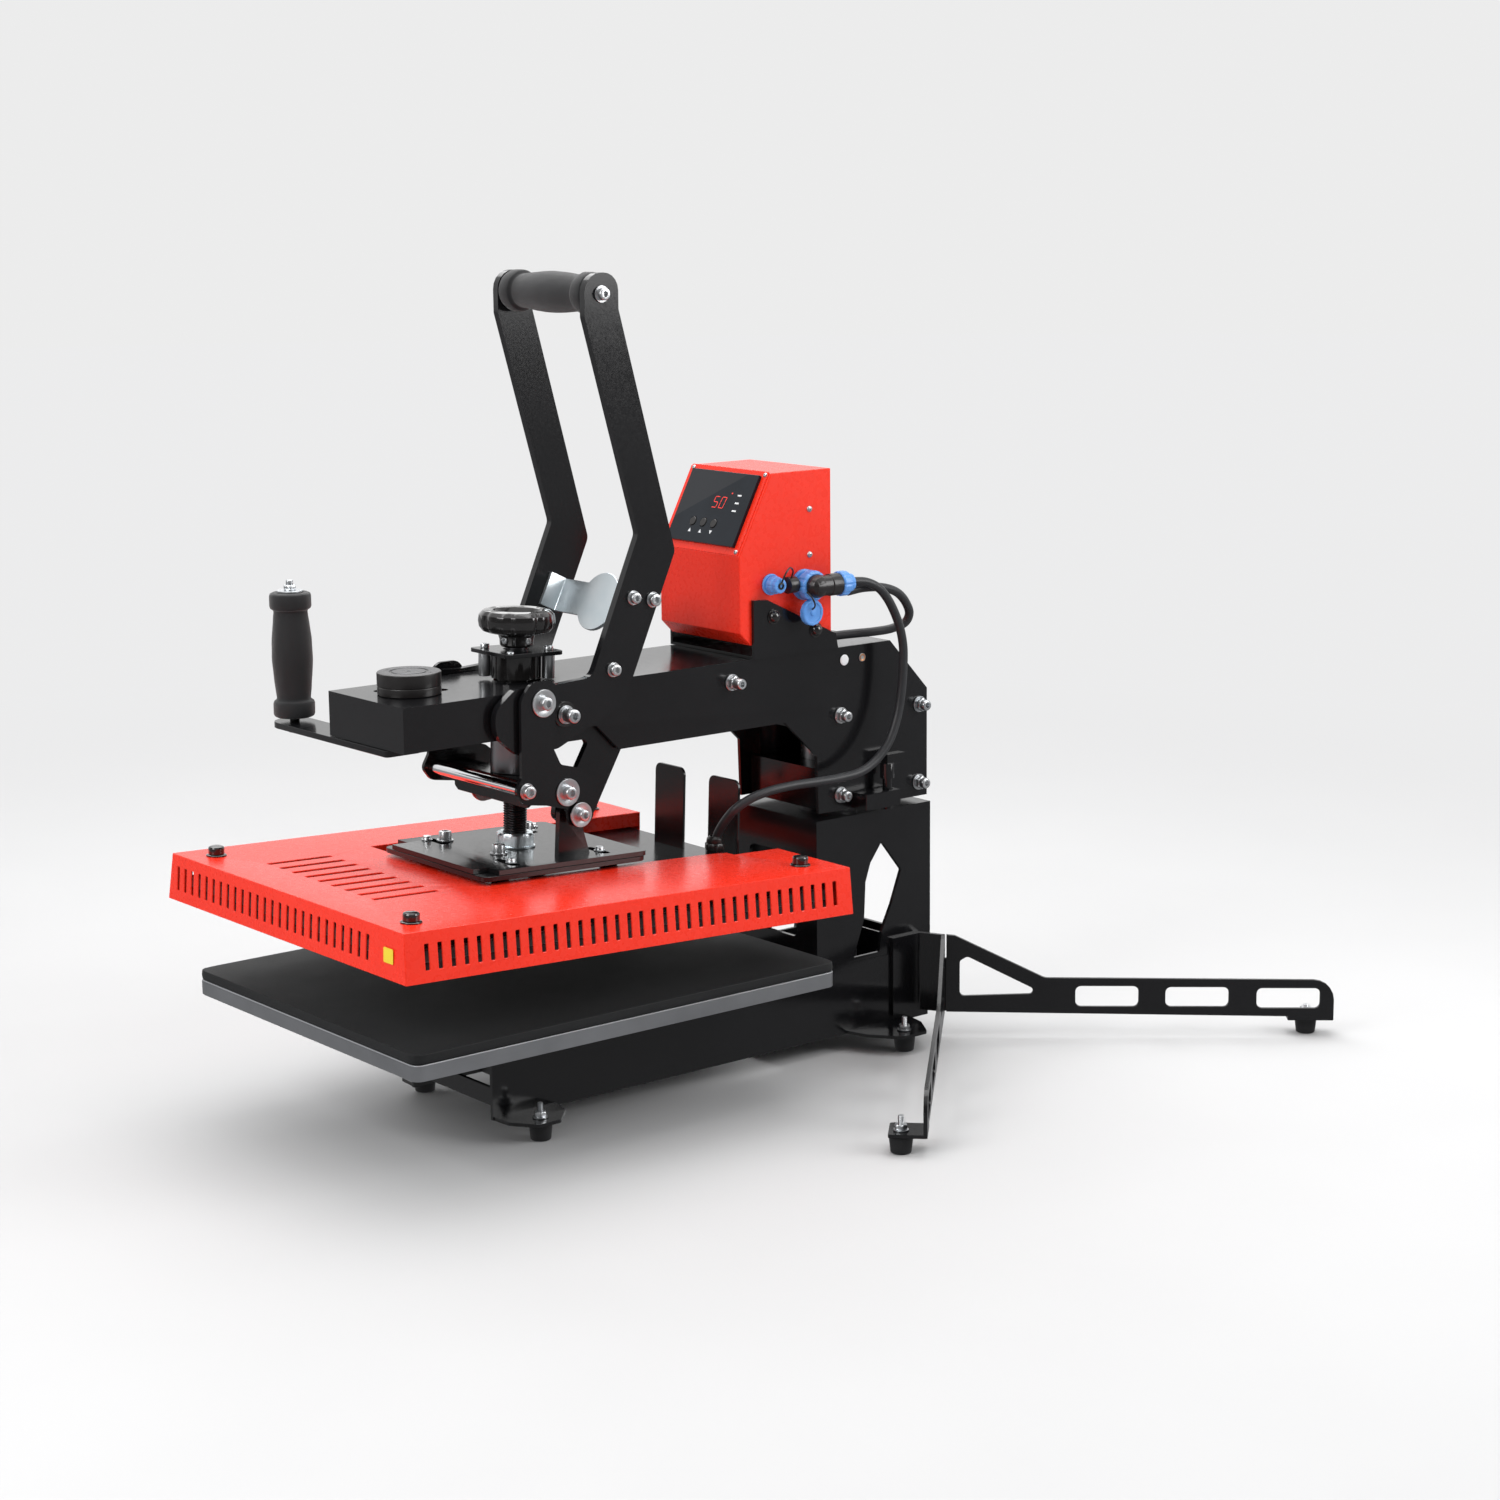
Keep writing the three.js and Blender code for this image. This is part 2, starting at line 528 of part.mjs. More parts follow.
// drawn as it lies on the magnet, then turned back to the open handle
function magnetArmature() {
  const z0 = 458.7;
  const z1 = z0 + 4;
  const closed = join(
    rod(30.5, "z", z0, z1, 0, MAGNET_Y, 36),
    box(-68.6, -14, -134.5, -99.5, z0, z1),
    box(-68.6, -64.8, -134.5, -99.5, 440, z0 + 2),
  );
  return toGeometry(closed)
    .translate(0, -PIVOT_Y, -PIVOT_Z)
    .rotateX(-HANDLE_THROW)
    .translate(0, PIVOT_Y, PIVOT_Z);
}
addMesh("magnet_armature", magnetArmature(), "zinc");

// link plates with their tie rod
const linkOutline = [
  [-45, 432, 16], [-32, 447, 12], [-8, 447, 12], [2, 432, 10], [-1, 420, 4], [-6, 410, 8],
  [-4, 398, 6], [-10, 384, 6], [0, 363, 6], [22, 357, 8], [36, 346, 8], [39, 325, 6],
  [37, 300, 12], [10, 298, 10], [6, 318, 4], [-18, 325, 6], [-44, 329, 10], [-54, 342, 8],
  [-46, 356, 6],
];
const linkHole = circle(CRANK_Y, CRANK_Z, 6.5, 20);
addPair("link_plate", plateYZ(linkOutline, LINK_IN, 4, [linkHole]), "black");
addMesh("tie_rod", rod(6, "x", -LINK_IN + GAP, LINK_IN - GAP, -41, 342, 22), "zinc");

// ---- press head, in the tilted frame ------------------------------------
addMesh("guide_core", turned([
  [13, 76], [20, 76], [20, 161.7], [25, 161.7], [25, 185.6], [13, 185.6], [13, 76],
], 0, 0, 32), "black", press);
addMesh("flange_plate", join(
  plateXY(rect(-34, 34, -34, 34, 6), 186, 4, [circle(0, 0, 13, 24)]),
  ...[-22.5, 22.5].map((at) => rod(5.5, "z", 162.4, 187, at, at, 16)),
), "zinc", press);
addMesh("pressure_knob", cut(
  join(
    new THREE.TorusGeometry(25.5, 11, 12, 36).translate(0, 0, 218),
    rod(17, "z", 192, 215, 0, 0, 24),
    rod(26, "z", 210, 224, 0, 0, 28),
    rod(14, "z", 222, 227, 0, 0, 24),
  ),
  rod(12.6, "z", 190, 206, 0, 0, 24),
), "black", press);
addMesh("ram_tube", turned([
  [20.6, 68.3], [25, 68.3], [25, 152], [20.6, 152], [20.6, 68.3],
], 0, 0, 32), "steel", press);
addMesh("cross_beam", cut(
  join(
    box(-78.4, 78.4, -28, -11, 54, 68),
    box(-50, 50, -12, 26, 56, 68),
    bothSides(rod(5.5, "x", 48, 78.9, 3.4, 62, 18)),
  ),
  rod(13, "z", 50, 80, 0, 0, 24),
), "black", press);
// screw with a hexagon at its foot
addMesh("pressure_screw", join(
  turned([[0, -2], [12, -2], [12, 200], [11, 201], [0, 201]], 0, 0, 24),
  rod(20.5, "z", -7.6, 7, 0, 0, 6),
), "black", press);

// upright leg inside the arm on the right, with the platen pivot pin; not tilted
const carrierOutline = [
  [8, 402, 4], [96, 402, 4], [90, 364], [51, 297, 8], [20, 295, 12], [7, 306, 8],
  [10, 322, 8], [30, 342], [49, 374, 3], [46, 379, 2], [8, 379, 3],
];
addMesh("carrier_legs", join(
  plateYZ(carrierOutline, 53, 7),
  rod(5, "x", 52, 78.9, LUG_Y, LUG_Z, 20),
), "black");

// ---- heated platen, in the tilted frame ---------------------------------
function pressurePlateUpper() {
  const outline = [
    [-90, -80], [-72, -80], [-72, -98], [72, -98], [72, -80], [90, -80], [90, 98, 6], [-90, 98, 6],
  ];
  const slots = [[-62, -52], [62, -52], [-62, 56], [62, 56]]
    .map(([x, y]) => plateXY(rect(x - 18, x + 18, y - 5, y + 5, 5), -16, 12));
  // the platen pivot, brought into the tilted frame
  const { y, z } = new THREE.Vector3(0, LUG_Y - RAM_Y, LUG_Z - RAM_Z).applyAxisAngle(X_AXIS, TILT);
  const lug = plateYZ([
    [y - 13, -9], [y - 12, z, 1], [y - 8, z + 12, 8], [y + 8, z + 12, 8],
    [y + 14, z - 12, 8], [y + 25, -9],
  ], 61, 6.6, [circle(y, z, 5.5, 20)]);
  const plate = cut(plateXY(outline, -12.6, 4.6), ...slots);
  return cut(join(plate, lug), rod(3, "z", -20, 0, 0, 0, 12));
}
addMesh("pressure_plate_upper", pressurePlateUpper(), "black", press);

addMesh("pressure_plate_lower", join(
  plateXY(rect(-90, 90, -98, 98, 10), -18, 5),
  ...[[-62, -60], [62, -60], [-62, 70], [62, 70]]
    .map(([x, y]) => rod(9, "z", -39.7, -17, x, y, 18)),
), "black", press);

// tray over the insulation, with two upright tabs at the back and a cable gland
const TRAY_Z1 = -40;
const TRAY_Z0 = TRAY_Z1 - 3;
function platenTray() {
  const gland = [58, 208];
  const tray = plateXY(rect(-196, 196, -250, 252, 6), TRAY_Z0, 3, [circle(...gland, 6, 16)]);
  const tabs = [-45.5, 45.5].map((x) => plateXZ([
    [x - 24.5, TRAY_Z1 - 2], [x + 24.5, TRAY_Z1 - 2], [x + 24.5, 46, 8], [x - 24.5, 46, 8],
  ], 228, 3));
  const glandNut = cut(
    rod(10, "z", TRAY_Z1 - 1, -25, ...gland, 6),
    rod(6, "z", TRAY_Z1 - 4, -18, ...gland, 16),
  );
  return join(tray, ...tabs, glandNut);
}
addMesh("platen_tray", platenTray(), "black", press);

const [HEATER_Y0, HEATER_Y1] = [-254, 246];
const HALF_X = PLATEN_X / 2;
const blanket = box(-HALF_X, HALF_X, HEATER_Y0, HEATER_Y1, -55.4, TRAY_Z0 - GAP);
addMesh("insulation_blanket", blanket, "wool", press);

// centre line of the heating element, [x, y]
const MEANDER = [
  [-150, -215], [150, -215], [165, -200], [165, -140], [150, -125], [-150, -125],
  [-165, -110], [-165, -50], [-150, -35], [150, -35], [165, -20], [165, 40], [150, 55],
  [-150, 55], [-165, 70], [-165, 130], [-150, 145], [150, 145], [165, 160], [165, 215],
].map((p) => new THREE.Vector2(...p));

// band along the meander, mitred at the corners
function meanderBand(halfWidth, z0, depth) {
  const left = [];
  const right = [];
  MEANDER.forEach((point, i) => {
    const before = point.clone().sub(MEANDER[i - 1] ?? point).normalize();
    const after = (MEANDER[i + 1] ?? point).clone().sub(point).normalize();
    const along = before.clone().add(after).normalize();
    const reach = halfWidth / Math.max(0.7, along.dot(before), along.dot(after));
    left.push([point.x - along.y * reach, point.y + along.x * reach]);
    right.unshift([point.x + along.y * reach, point.y - along.x * reach]);
  });
  return plateXY([...left, ...right], z0, depth);
}
const heater = plateXY(rect(-HALF_X, HALF_X, HEATER_Y0, HEATER_Y1, 8), -72.2, 16.4);
addMesh("heater_plate", cut(heater, meanderBand(5, -64, 10)), "alu", press);
addMesh("heating_element", meanderBand(4.4, -63.7, 7.5), "steel", press);

// ---- platen cover, in the tilted frame ----------------------------------
const COVER_TOP = -22;
const COVER_H = 46.6;
const COVER_BOTTOM = COVER_TOP - COVER_H;
const COVER_X = 212.7; // half width at the top
const [COVER_Y0, COVER_Y1] = [-266, 257.8]; // at the top
const COVER_T = 2;
const FLARE = { side: 6, front: 1.5, back: 1 }; // spread over the cover height
const SLOT_PITCH = 14.1;
const SLOT_W = 4.6;
const SLOT_H = 24;

// block with the cover's flared walls, inset from them
function coverBlock(inset, z0, z1) {
  const corners = [z0, z1].flatMap((z) => {
    const drop = (COVER_TOP - z) / COVER_H;
    const x = COVER_X + drop * FLARE.side - inset;
    const y0 = COVER_Y0 - drop * FLARE.front + inset;
    const y1 = COVER_Y1 + drop * FLARE.back - inset;
    return rect(-x, x, y0, y1).map((corner) => [corner[0], corner[1], z]);
  });
  const faces = [
    [0, 3, 2, 1], [4, 5, 6, 7], [0, 1, 5, 4], [1, 2, 6, 5], [2, 3, 7, 6], [3, 0, 4, 7],
  ];
  const points = faces.flatMap((f) => [0, 1, 2, 0, 2, 3].flatMap((k) => corners[f[k]]));
  return new THREE.BufferGeometry()
    .setAttribute("position", new THREE.BufferAttribute(new Float32Array(points), 3));
}

// slots in the front and side walls, and a field in the top ahead of the opening
function coverSlots() {
  const z0 = COVER_BOTTOM + 11;
  const z1 = z0 + SLOT_H;
  const half = SLOT_W / 2;
  const slots = [];
  for (let i = 0; i < 26; i++) {
    const x = -200 + i * SLOT_PITCH;
    slots.push(box(x - half, x + half, COVER_Y0 - 9, COVER_Y0 + 9, z0, z1));
  }
  for (let i = 0; i < 35; i++) {
    const y = -243 + i * SLOT_PITCH;
    for (const x of [-COVER_X, COVER_X]) {
      slots.push(box(x - 9, x + 9, y - half, y + half, z0, z1));
    }
  }
  for (let i = 0; i < 9; i++) {
    const x = -118 + i * 24;
    slots.push(box(x, x + 7, -214, -142, COVER_TOP - 5, COVER_TOP + 5));
  }
  return slots;
}

// sheet-metal cover, open below, with a lipped opening for the pressure plates
function platenCover() {
  const opening = [[-135, -84], [79, -84], [79, 60], [84, 178], [106, 300], [-135, 300]];
  const lipY1 = COVER_Y1 - 3;
  const lip = [[-137, -86], [81, -86], [81, 60], [86, 178], [107.2, lipY1], [-137, lipY1]];
  const shell = cut(
    coverBlock(0, COVER_BOTTOM, COVER_TOP),
    coverBlock(COVER_T, COVER_BOTTOM - 5, COVER_TOP - COVER_T),
  );
  return cut(
    join(shell, plateXY(lip, COVER_TOP - 15.5, 15)),
    plateXY(opening, COVER_TOP - 30, 40),
    box(-135, 100, 200, 300, COVER_TOP - 14, 0), // opens the rear wall behind the opening
    ...coverSlots(),
  );
}
addMesh("platen_cover", platenCover(), "red", press);

export default root;
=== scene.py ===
"""Swing-arm heat press with a hinged handle, control box and padded lower platen.

Lengths are in mm unless a comment says metres. Two frames are used:
  bench frame: x to the right, y to the back, z up from the bench;
  press frame: origin on the press axis, tilted back with the platen and pressure screw.
The row frame, in metres, is the bench frame with z = 0 at the top of the pad.
"""
import math
import random

import bmesh
import bpy
from mathutils import Matrix, Vector, noise


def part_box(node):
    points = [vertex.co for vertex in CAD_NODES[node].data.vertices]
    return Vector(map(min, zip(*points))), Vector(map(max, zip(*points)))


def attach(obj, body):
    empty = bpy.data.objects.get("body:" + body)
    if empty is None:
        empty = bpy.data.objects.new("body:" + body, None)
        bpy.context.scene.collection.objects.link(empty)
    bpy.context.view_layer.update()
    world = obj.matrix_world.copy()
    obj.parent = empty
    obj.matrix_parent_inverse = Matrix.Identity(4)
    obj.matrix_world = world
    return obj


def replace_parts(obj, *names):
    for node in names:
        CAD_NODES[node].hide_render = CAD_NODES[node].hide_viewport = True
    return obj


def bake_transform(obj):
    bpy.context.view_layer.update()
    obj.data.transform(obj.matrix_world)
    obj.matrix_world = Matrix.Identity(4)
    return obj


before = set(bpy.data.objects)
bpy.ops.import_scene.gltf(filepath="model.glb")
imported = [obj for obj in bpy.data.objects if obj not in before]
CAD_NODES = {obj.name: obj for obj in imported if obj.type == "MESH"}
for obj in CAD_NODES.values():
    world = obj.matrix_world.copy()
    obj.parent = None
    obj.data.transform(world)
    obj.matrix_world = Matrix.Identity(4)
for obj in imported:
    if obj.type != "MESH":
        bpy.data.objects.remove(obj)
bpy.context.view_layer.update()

random.seed(7)  # nothing in this script draws from it

MM = 0.001
PAD_TOP = 146.0                   # height of the pad's top over the bench
TILT = math.radians(2.3)          # the press axis leans back by this
SIN_TILT, COS_TILT = math.sin(TILT), math.cos(TILT)
PRESS_Y, PRESS_Z = 1, 276         # origin of the press frame, on x = 0

SIDES = (1, -1)                   # right, left
RIGHT = Vector((1, 0, 0))
BACK = Vector((0, 1, 0))
UP = Vector((0, 0, 1))
PRESS_UP = Vector((0, SIN_TILT, COS_TILT))


# ---------------------------------------------------------------- frames
def bench_point(x, y, z):
    """Bench mm to row metres."""
    return Vector((x, y, z - PAD_TOP)) * MM


def press_point(x, y, z):
    """Press mm to row metres."""
    return bench_point(x, PRESS_Y + y * COS_TILT + z * SIN_TILT,
                       PRESS_Z - y * SIN_TILT + z * COS_TILT)


def axes_frame(x_axis, y_axis, z_axis, origin):
    place = Matrix((x_axis, y_axis, z_axis)).transposed().to_4x4()
    place.translation = origin
    return place


def frame_to(origin, axis):
    """Frame at origin (metres) whose local z runs along axis."""
    axis = Vector(axis).normalized()
    reference = UP if abs(axis.z) < 0.9 else BACK
    x_axis = reference.cross(axis).normalized()
    return axes_frame(x_axis, axis.cross(x_axis), axis, origin)


def at(x, y, z, axis=UP):
    return frame_to(bench_point(x, y, z), axis)


def beside(side, x, y, z):
    """Frame at distance x to one side, with local z pointing outward."""
    return frame_to(bench_point(side * x, y, z), Vector((side, 0, 0)))


def on_press(x, y, z):
    return frame_to(press_point(x, y, z), PRESS_UP)


def shift(x, y, z):
    return Matrix.Translation((x * MM, y * MM, z * MM))


PRESS = Matrix.Translation(bench_point(0, PRESS_Y, PRESS_Z)) @ Matrix.Rotation(-TILT, 4, "X")
BENCH = shift(0, 0, -PAD_TOP)


# ---------------------------------------------------------------- shader helpers
def new_material(name):
    material = bpy.data.materials.new(name)
    material.use_nodes = True
    tree = material.node_tree
    tree.nodes.clear()
    output = tree.nodes.new("ShaderNodeOutputMaterial")
    bsdf = tree.nodes.new("ShaderNodeBsdfPrincipled")
    tree.links.new(bsdf.outputs[0], output.inputs[0])
    return material, tree, bsdf


def add_node(tree, kind, **settings):
    """Adds a node; each setting is an input's value or else a property."""
    node = tree.nodes.new("ShaderNode" + kind)
    for key, value in settings.items():
        if key in node.inputs.keys():
            node.inputs[key].default_value = value
        else:
            setattr(node, key, value)
    return node


def coords(tree, scale=(1, 1, 1)):
    source = add_node(tree, "TexCoord")
    mapping = add_node(tree, "Mapping", Scale=scale)
    tree.links.new(source.outputs["Object"], mapping.inputs["Vector"])
    return mapping.outputs["Vector"]


def noise_tex(tree, vector, scale, detail=3.0, rough=0.5):
    node = add_node(tree, "TexNoise", Scale=scale, Detail=detail, Roughness=rough)
    tree.links.new(vector, node.inputs["Vector"])
    return node.outputs["Fac"]


def ramp(tree, factor, dark, light, span=(0.3, 0.7)):
    node = add_node(tree, "ValToRGB")
    for stop, position, colour in zip(node.color_ramp.elements, span, (dark, light)):
        stop.position = position
        stop.color = (*colour, 1)
    tree.links.new(factor, node.inputs["Fac"])
    return node.outputs["Color"]


def remap(tree, value, source=(0, 1), target=(0, 1), curve="LINEAR"):
    node = add_node(tree, "MapRange", interpolation_type=curve)
    for end, low, high in (("From", *source), ("To", *target)):
        node.inputs[end + " Min"].default_value = low
        node.inputs[end + " Max"].default_value = high
    tree.links.new(value, node.inputs["Value"])
    return node.outputs["Result"]


def vary_roughness(tree, bsdf, value, low, high):
    tree.links.new(remap(tree, value, target=(low, high)), bsdf.inputs["Roughness"])


def bump(tree, bsdf, height, strength, distance, under=None):
    """Bump on the shader's normal; under is the normal it builds on."""
    node = add_node(tree, "Bump", Strength=strength, Distance=distance)
    tree.links.new(height, node.inputs["Height"])
    if under is not None:
        tree.links.new(under, node.inputs["Normal"])
    tree.links.new(node.outputs["Normal"], bsdf.inputs["Normal"])
    return node.outputs["Normal"]


# ---------------------------------------------------------------- kinds of material
# Texture scales are per metre; bump depths are in metres.
def powder(name, dark, light, rough, grain, depth, coat=0.0, spec=0.5):
    """Powder coat: slow colour drift, fine grain and an orange-peel bump."""
    material, tree, bsdf = new_material(name)
    vector = coords(tree)
    drift = noise_tex(tree, vector, scale=9.0, detail=4.0, rough=0.6)
    fine = noise_tex(tree, vector, scale=grain, detail=2.0, rough=0.6)
    peel = noise_tex(tree, vector, scale=grain / 4.5, detail=2.0)
    tree.links.new(ramp(tree, drift, dark, light), bsdf.inputs["Base Color"])
    vary_roughness(tree, bsdf, peel, rough - 0.06, rough + 0.08)
    grain_normal = bump(tree, bsdf, fine, strength=0.35, distance=depth)
    bump(tree, bsdf, peel, strength=0.3, distance=depth * 2.2, under=grain_normal)
    bsdf.inputs["Coat Weight"].default_value = coat
    bsdf.inputs["Coat Roughness"].default_value = 0.18
    bsdf.inputs["Specular IOR Level"].default_value = spec
    return material


def metal(name, colour, rough, streak=(1, 1, 1), scale=300.0, tint=None, depth=0.00003,
          aniso=0.0, vary=0.12):
    """Metal; streak stretches the fine noise, tint is the second colour of the patches."""
    material, tree, bsdf = new_material(name)
    bsdf.inputs["Metallic"].default_value = 1.0
    fine = noise_tex(tree, coords(tree, streak), scale=scale, rough=0.6)
    patches = noise_tex(tree, coords(tree), scale=22.0, rough=0.55)
    tint = tint or tuple(channel * (1 - vary) for channel in colour)
    tree.links.new(ramp(tree, patches, tint, colour, span=(0.32, 0.66)),
                   bsdf.inputs["Base Color"])
    vary_roughness(tree, bsdf, fine, max(0.03, rough - 0.08), rough + 0.12)
    bump(tree, bsdf, fine, strength=0.35, distance=depth)
    bsdf.inputs["Anisotropic"].default_value = aniso
    return material


def rubbery(name, dark, light, rough, pore, depth, strength, sheen=0.0, cells=False):
    """Rubber, foam or fibre; cells swaps the noise bump for a cellular one."""
    material, tree, bsdf = new_material(name)
    vector = coords(tree)
    drift = noise_tex(tree, vector, scale=14.0, detail=5.0, rough=0.62)
    tree.links.new(ramp(tree, drift, dark, light, span=(0.3, 0.72)), bsdf.inputs["Base Color"])
    if cells:
        voronoi = add_node(tree, "TexVoronoi", Scale=pore)
        tree.links.new(vector, voronoi.inputs["Vector"])
        height = voronoi.outputs["Distance"]
    else:
        height = noise_tex(tree, vector, scale=pore, detail=4.0, rough=0.65)
    vary_roughness(tree, bsdf, drift, rough - 0.1, min(1.0, rough + 0.1))
    bump(tree, bsdf, height, strength=strength, distance=depth)
    bsdf.inputs["Sheen Weight"].default_value = sheen
    bsdf.inputs["Sheen Roughness"].default_value = 0.5
    bsdf.inputs["Specular IOR Level"].default_value = 0.35
    return material


def gloss(name, colour, rough, wave=60.0, coat=0.6, dark=None):
    """Smooth plastic with slow waves and smears in the shine."""
    material, tree, bsdf = new_material(name)
    waves = noise_tex(tree, coords(tree), scale=wave, detail=2.0)
    dark = dark or tuple(channel * 0.75 for channel in colour)
    tree.links.new(ramp(tree, waves, dark, colour), bsdf.inputs["Base Color"])
    smear = noise_tex(tree, coords(tree, (1, 1, 4)), scale=38.0, detail=4.0, rough=0.7)
    vary_roughness(tree, bsdf, smear, rough, rough + 0.14)
    bump(tree, bsdf, waves, strength=0.2, distance=0.00002)
    bsdf.inputs["Coat Weight"].default_value = coat
    bsdf.inputs["Coat Roughness"].default_value = 0.06
    return material


def glowing(name, colour, strength):
    material, tree, bsdf = new_material(name)
    grain = noise_tex(tree, coords(tree), scale=1500.0, detail=1.0)
    shade = ramp(tree, grain, tuple(channel * 0.8 for channel in colour), colour)
    tree.links.new(shade, bsdf.inputs["Base Color"])
    tree.links.new(shade, bsdf.inputs["Emission Color"])
    bsdf.inputs["Emission Strength"].default_value = strength
    bsdf.inputs["Roughness"].default_value = 0.4
    return material


def display_with_painted_reflection():
    """Dark glossy sheet with a painted reflection: paler above a line that rises towards +x."""
    material = gloss("display with painted reflection", (0.014, 0.018, 0.024), rough=0.12, wave=30.0, coat=0.0)
    tree = material.node_tree
    bsdf = tree.nodes["Principled BSDF"]
    bsdf.inputs["Specular IOR Level"].default_value = 0.22
    source = add_node(tree, "TexCoord")
    split = add_node(tree, "SeparateXYZ")
    tree.links.new(source.outputs["Object"], split.inputs[0])
    # z - slope * x, in metres, crosses the edge between the dark sheet and the painted reflection
    slope = add_node(tree, "Math", operation="MULTIPLY")
    slope.inputs[1].default_value = -0.52
    tree.links.new(split.outputs["X"], slope.inputs[0])
    total = add_node(tree, "Math", operation="ADD")
    tree.links.new(split.outputs["Z"], total.inputs[0])
    tree.links.new(slope.outputs[0], total.inputs[1])
    edge = remap(tree, total.outputs[0], source=(0.4560, 0.4565))
    blend = add_node(tree, "Mix", data_type="RGBA")
    tree.links.new(bsdf.inputs["Base Color"].links[0].from_socket, blend.inputs[6])
    # painted reflection: the paler grey above the edge
    blend.inputs[7].default_value = (0.026, 0.028, 0.032, 1)
    tree.links.new(edge, blend.inputs[0])
    tree.links.new(blend.outputs[2], bsdf.inputs["Base Color"])
    return material


FINISHES = {
    "black": powder("black powder coat", (0.0050, 0.0050, 0.0058), (0.0080, 0.0080, 0.0090),
                    rough=0.15, grain=1500.0, depth=0.000006, spec=0.46),
    "red": powder("red powder coat", (0.86, 0.028, 0.010), (0.91, 0.034, 0.013),
                  rough=0.27, grain=700.0, depth=0.000004, spec=0.34),
    "zinc": metal("bright zinc plate", (0.66, 0.67, 0.68), rough=0.30, scale=260.0,
                  tint=(0.56, 0.58, 0.60), depth=0.00001),
    "zinc_blue": metal("blue zinc plate", (0.84, 0.89, 0.92), rough=0.34, scale=180.0,
                       tint=(0.72, 0.80, 0.84), depth=0.00001),
    "steel": metal("machined steel", (0.60, 0.60, 0.62), rough=0.30, streak=(1, 1, 14)),
    "ramsteel": metal("phosphated steel tube", (0.36, 0.36, 0.375), rough=0.32,
                      streak=(1, 1, 10), scale=260.0),
    "chrome": metal("polished chrome", (0.86, 0.87, 0.89), rough=0.08, streak=(30, 1, 1),
                    scale=120.0, depth=0.00001, vary=0.05),
    "alu": metal("sawn aluminium", (0.44, 0.45, 0.47), rough=0.34, streak=(1.2, 1.2, 26),
                 scale=330.0, depth=0.00006, aniso=0.3),
    "heater": metal("cast heater plate", (0.14, 0.14, 0.145), rough=0.42, streak=(1, 1, 8),
                    scale=200.0, depth=0.00008),
    "pad": rubbery("silicone foam pad", (0.0065, 0.0070, 0.0078), (0.0105, 0.0112, 0.0120),
                   rough=0.66, pore=1100.0, depth=0.00028, strength=0.55, sheen=0.03),
    "rubber": rubbery("foot rubber", (0.010, 0.010, 0.011), (0.017, 0.017, 0.018),
                      rough=0.55, pore=1400.0, depth=0.0001, strength=0.4),
    "foam": rubbery("grip foam", (0.0075, 0.0075, 0.0085), (0.014, 0.014, 0.0155),
                    rough=0.72, pore=1700.0, depth=0.00022, strength=0.8, sheen=0.25, cells=True),
    "cap": rubbery("grip end cap plastic", (0.009, 0.009, 0.010), (0.014, 0.014, 0.015),
                   rough=0.42, pore=2200.0, depth=0.00005, strength=0.3),
    "cable": rubbery("cable sheath", (0.020, 0.021, 0.023), (0.030, 0.031, 0.034),
                     rough=0.40, pore=1600.0, depth=0.00008, strength=0.3),
    "gloss": gloss("gloss black thermoset", (0.012, 0.011, 0.011), rough=0.08),
    "acrylic": gloss("black acrylic", (0.016, 0.018, 0.022), rough=0.05, wave=30.0, coat=1.0),
    "blackplastic": gloss("moulded black plastic", (0.015, 0.013, 0.013), rough=0.26,
                          wave=90.0, coat=0.1),
    "blue": gloss("moulded blue plastic", (0.11, 0.33, 0.78), rough=0.30, wave=120.0,
                  coat=0.15, dark=(0.08, 0.27, 0.68)),
    "yellow": powder("yellow vinyl", (0.82, 0.60, 0.02), (0.88, 0.66, 0.03),
                     rough=0.38, grain=1500.0, depth=0.00002, coat=0.1),
    "white": powder("white print", (0.75, 0.76, 0.78), (0.84, 0.85, 0.86),
                    rough=0.45, grain=1500.0, depth=0.00002),
    "led": glowing("red segment", (0.85, 0.04, 0.03), strength=0.55),
    "copper": metal("copper rivet", (0.75, 0.36, 0.18), rough=0.30),
    "board": gloss("solder mask", (0.01, 0.10, 0.04), rough=0.3, wave=400.0, coat=0.2),
    "wool": rubbery("ceramic fibre blanket", (0.040, 0.040, 0.041), (0.062, 0.061, 0.060),
                    rough=0.9, pore=500.0, depth=0.0008, strength=0.9, sheen=0.4),
    "inner": powder("tray black", (0.0065, 0.0065, 0.0072), (0.0105, 0.0105, 0.0115),
                    rough=0.18, grain=900.0, depth=0.000008, spec=0.46),
    # display sheet with a painted reflection in its upper part
    "display": display_with_painted_reflection(),
    "magface": metal("blackened pole face", (0.085, 0.085, 0.09), rough=0.30, depth=0.00001),
    "screwsteel": metal("black oxide screw", (0.10, 0.10, 0.105), rough=0.30, scale=500.0),
}


# ---------------------------------------------------------------- objects
def add_bevel(piece, width, segments, angle, harden):
    modifier = piece.modifiers.new("bevel", "BEVEL")
    modifier.width = width * MM
    modifier.segments = segments
    modifier.limit_method = "ANGLE"
    modifier.angle_limit = math.radians(angle)
    modifier.harden_normals = harden
    modifier.use_clamp_overlap = True
    modifier.miter_outer = "MITER_ARC"


def smooth(piece):
    piece.data.polygons.foreach_set("use_smooth", [True] * len(piece.data.polygons))


def add_object(name, data):
    item = bpy.data.objects.new(name, data)
    bpy.context.scene.collection.objects.link(item)
    return item


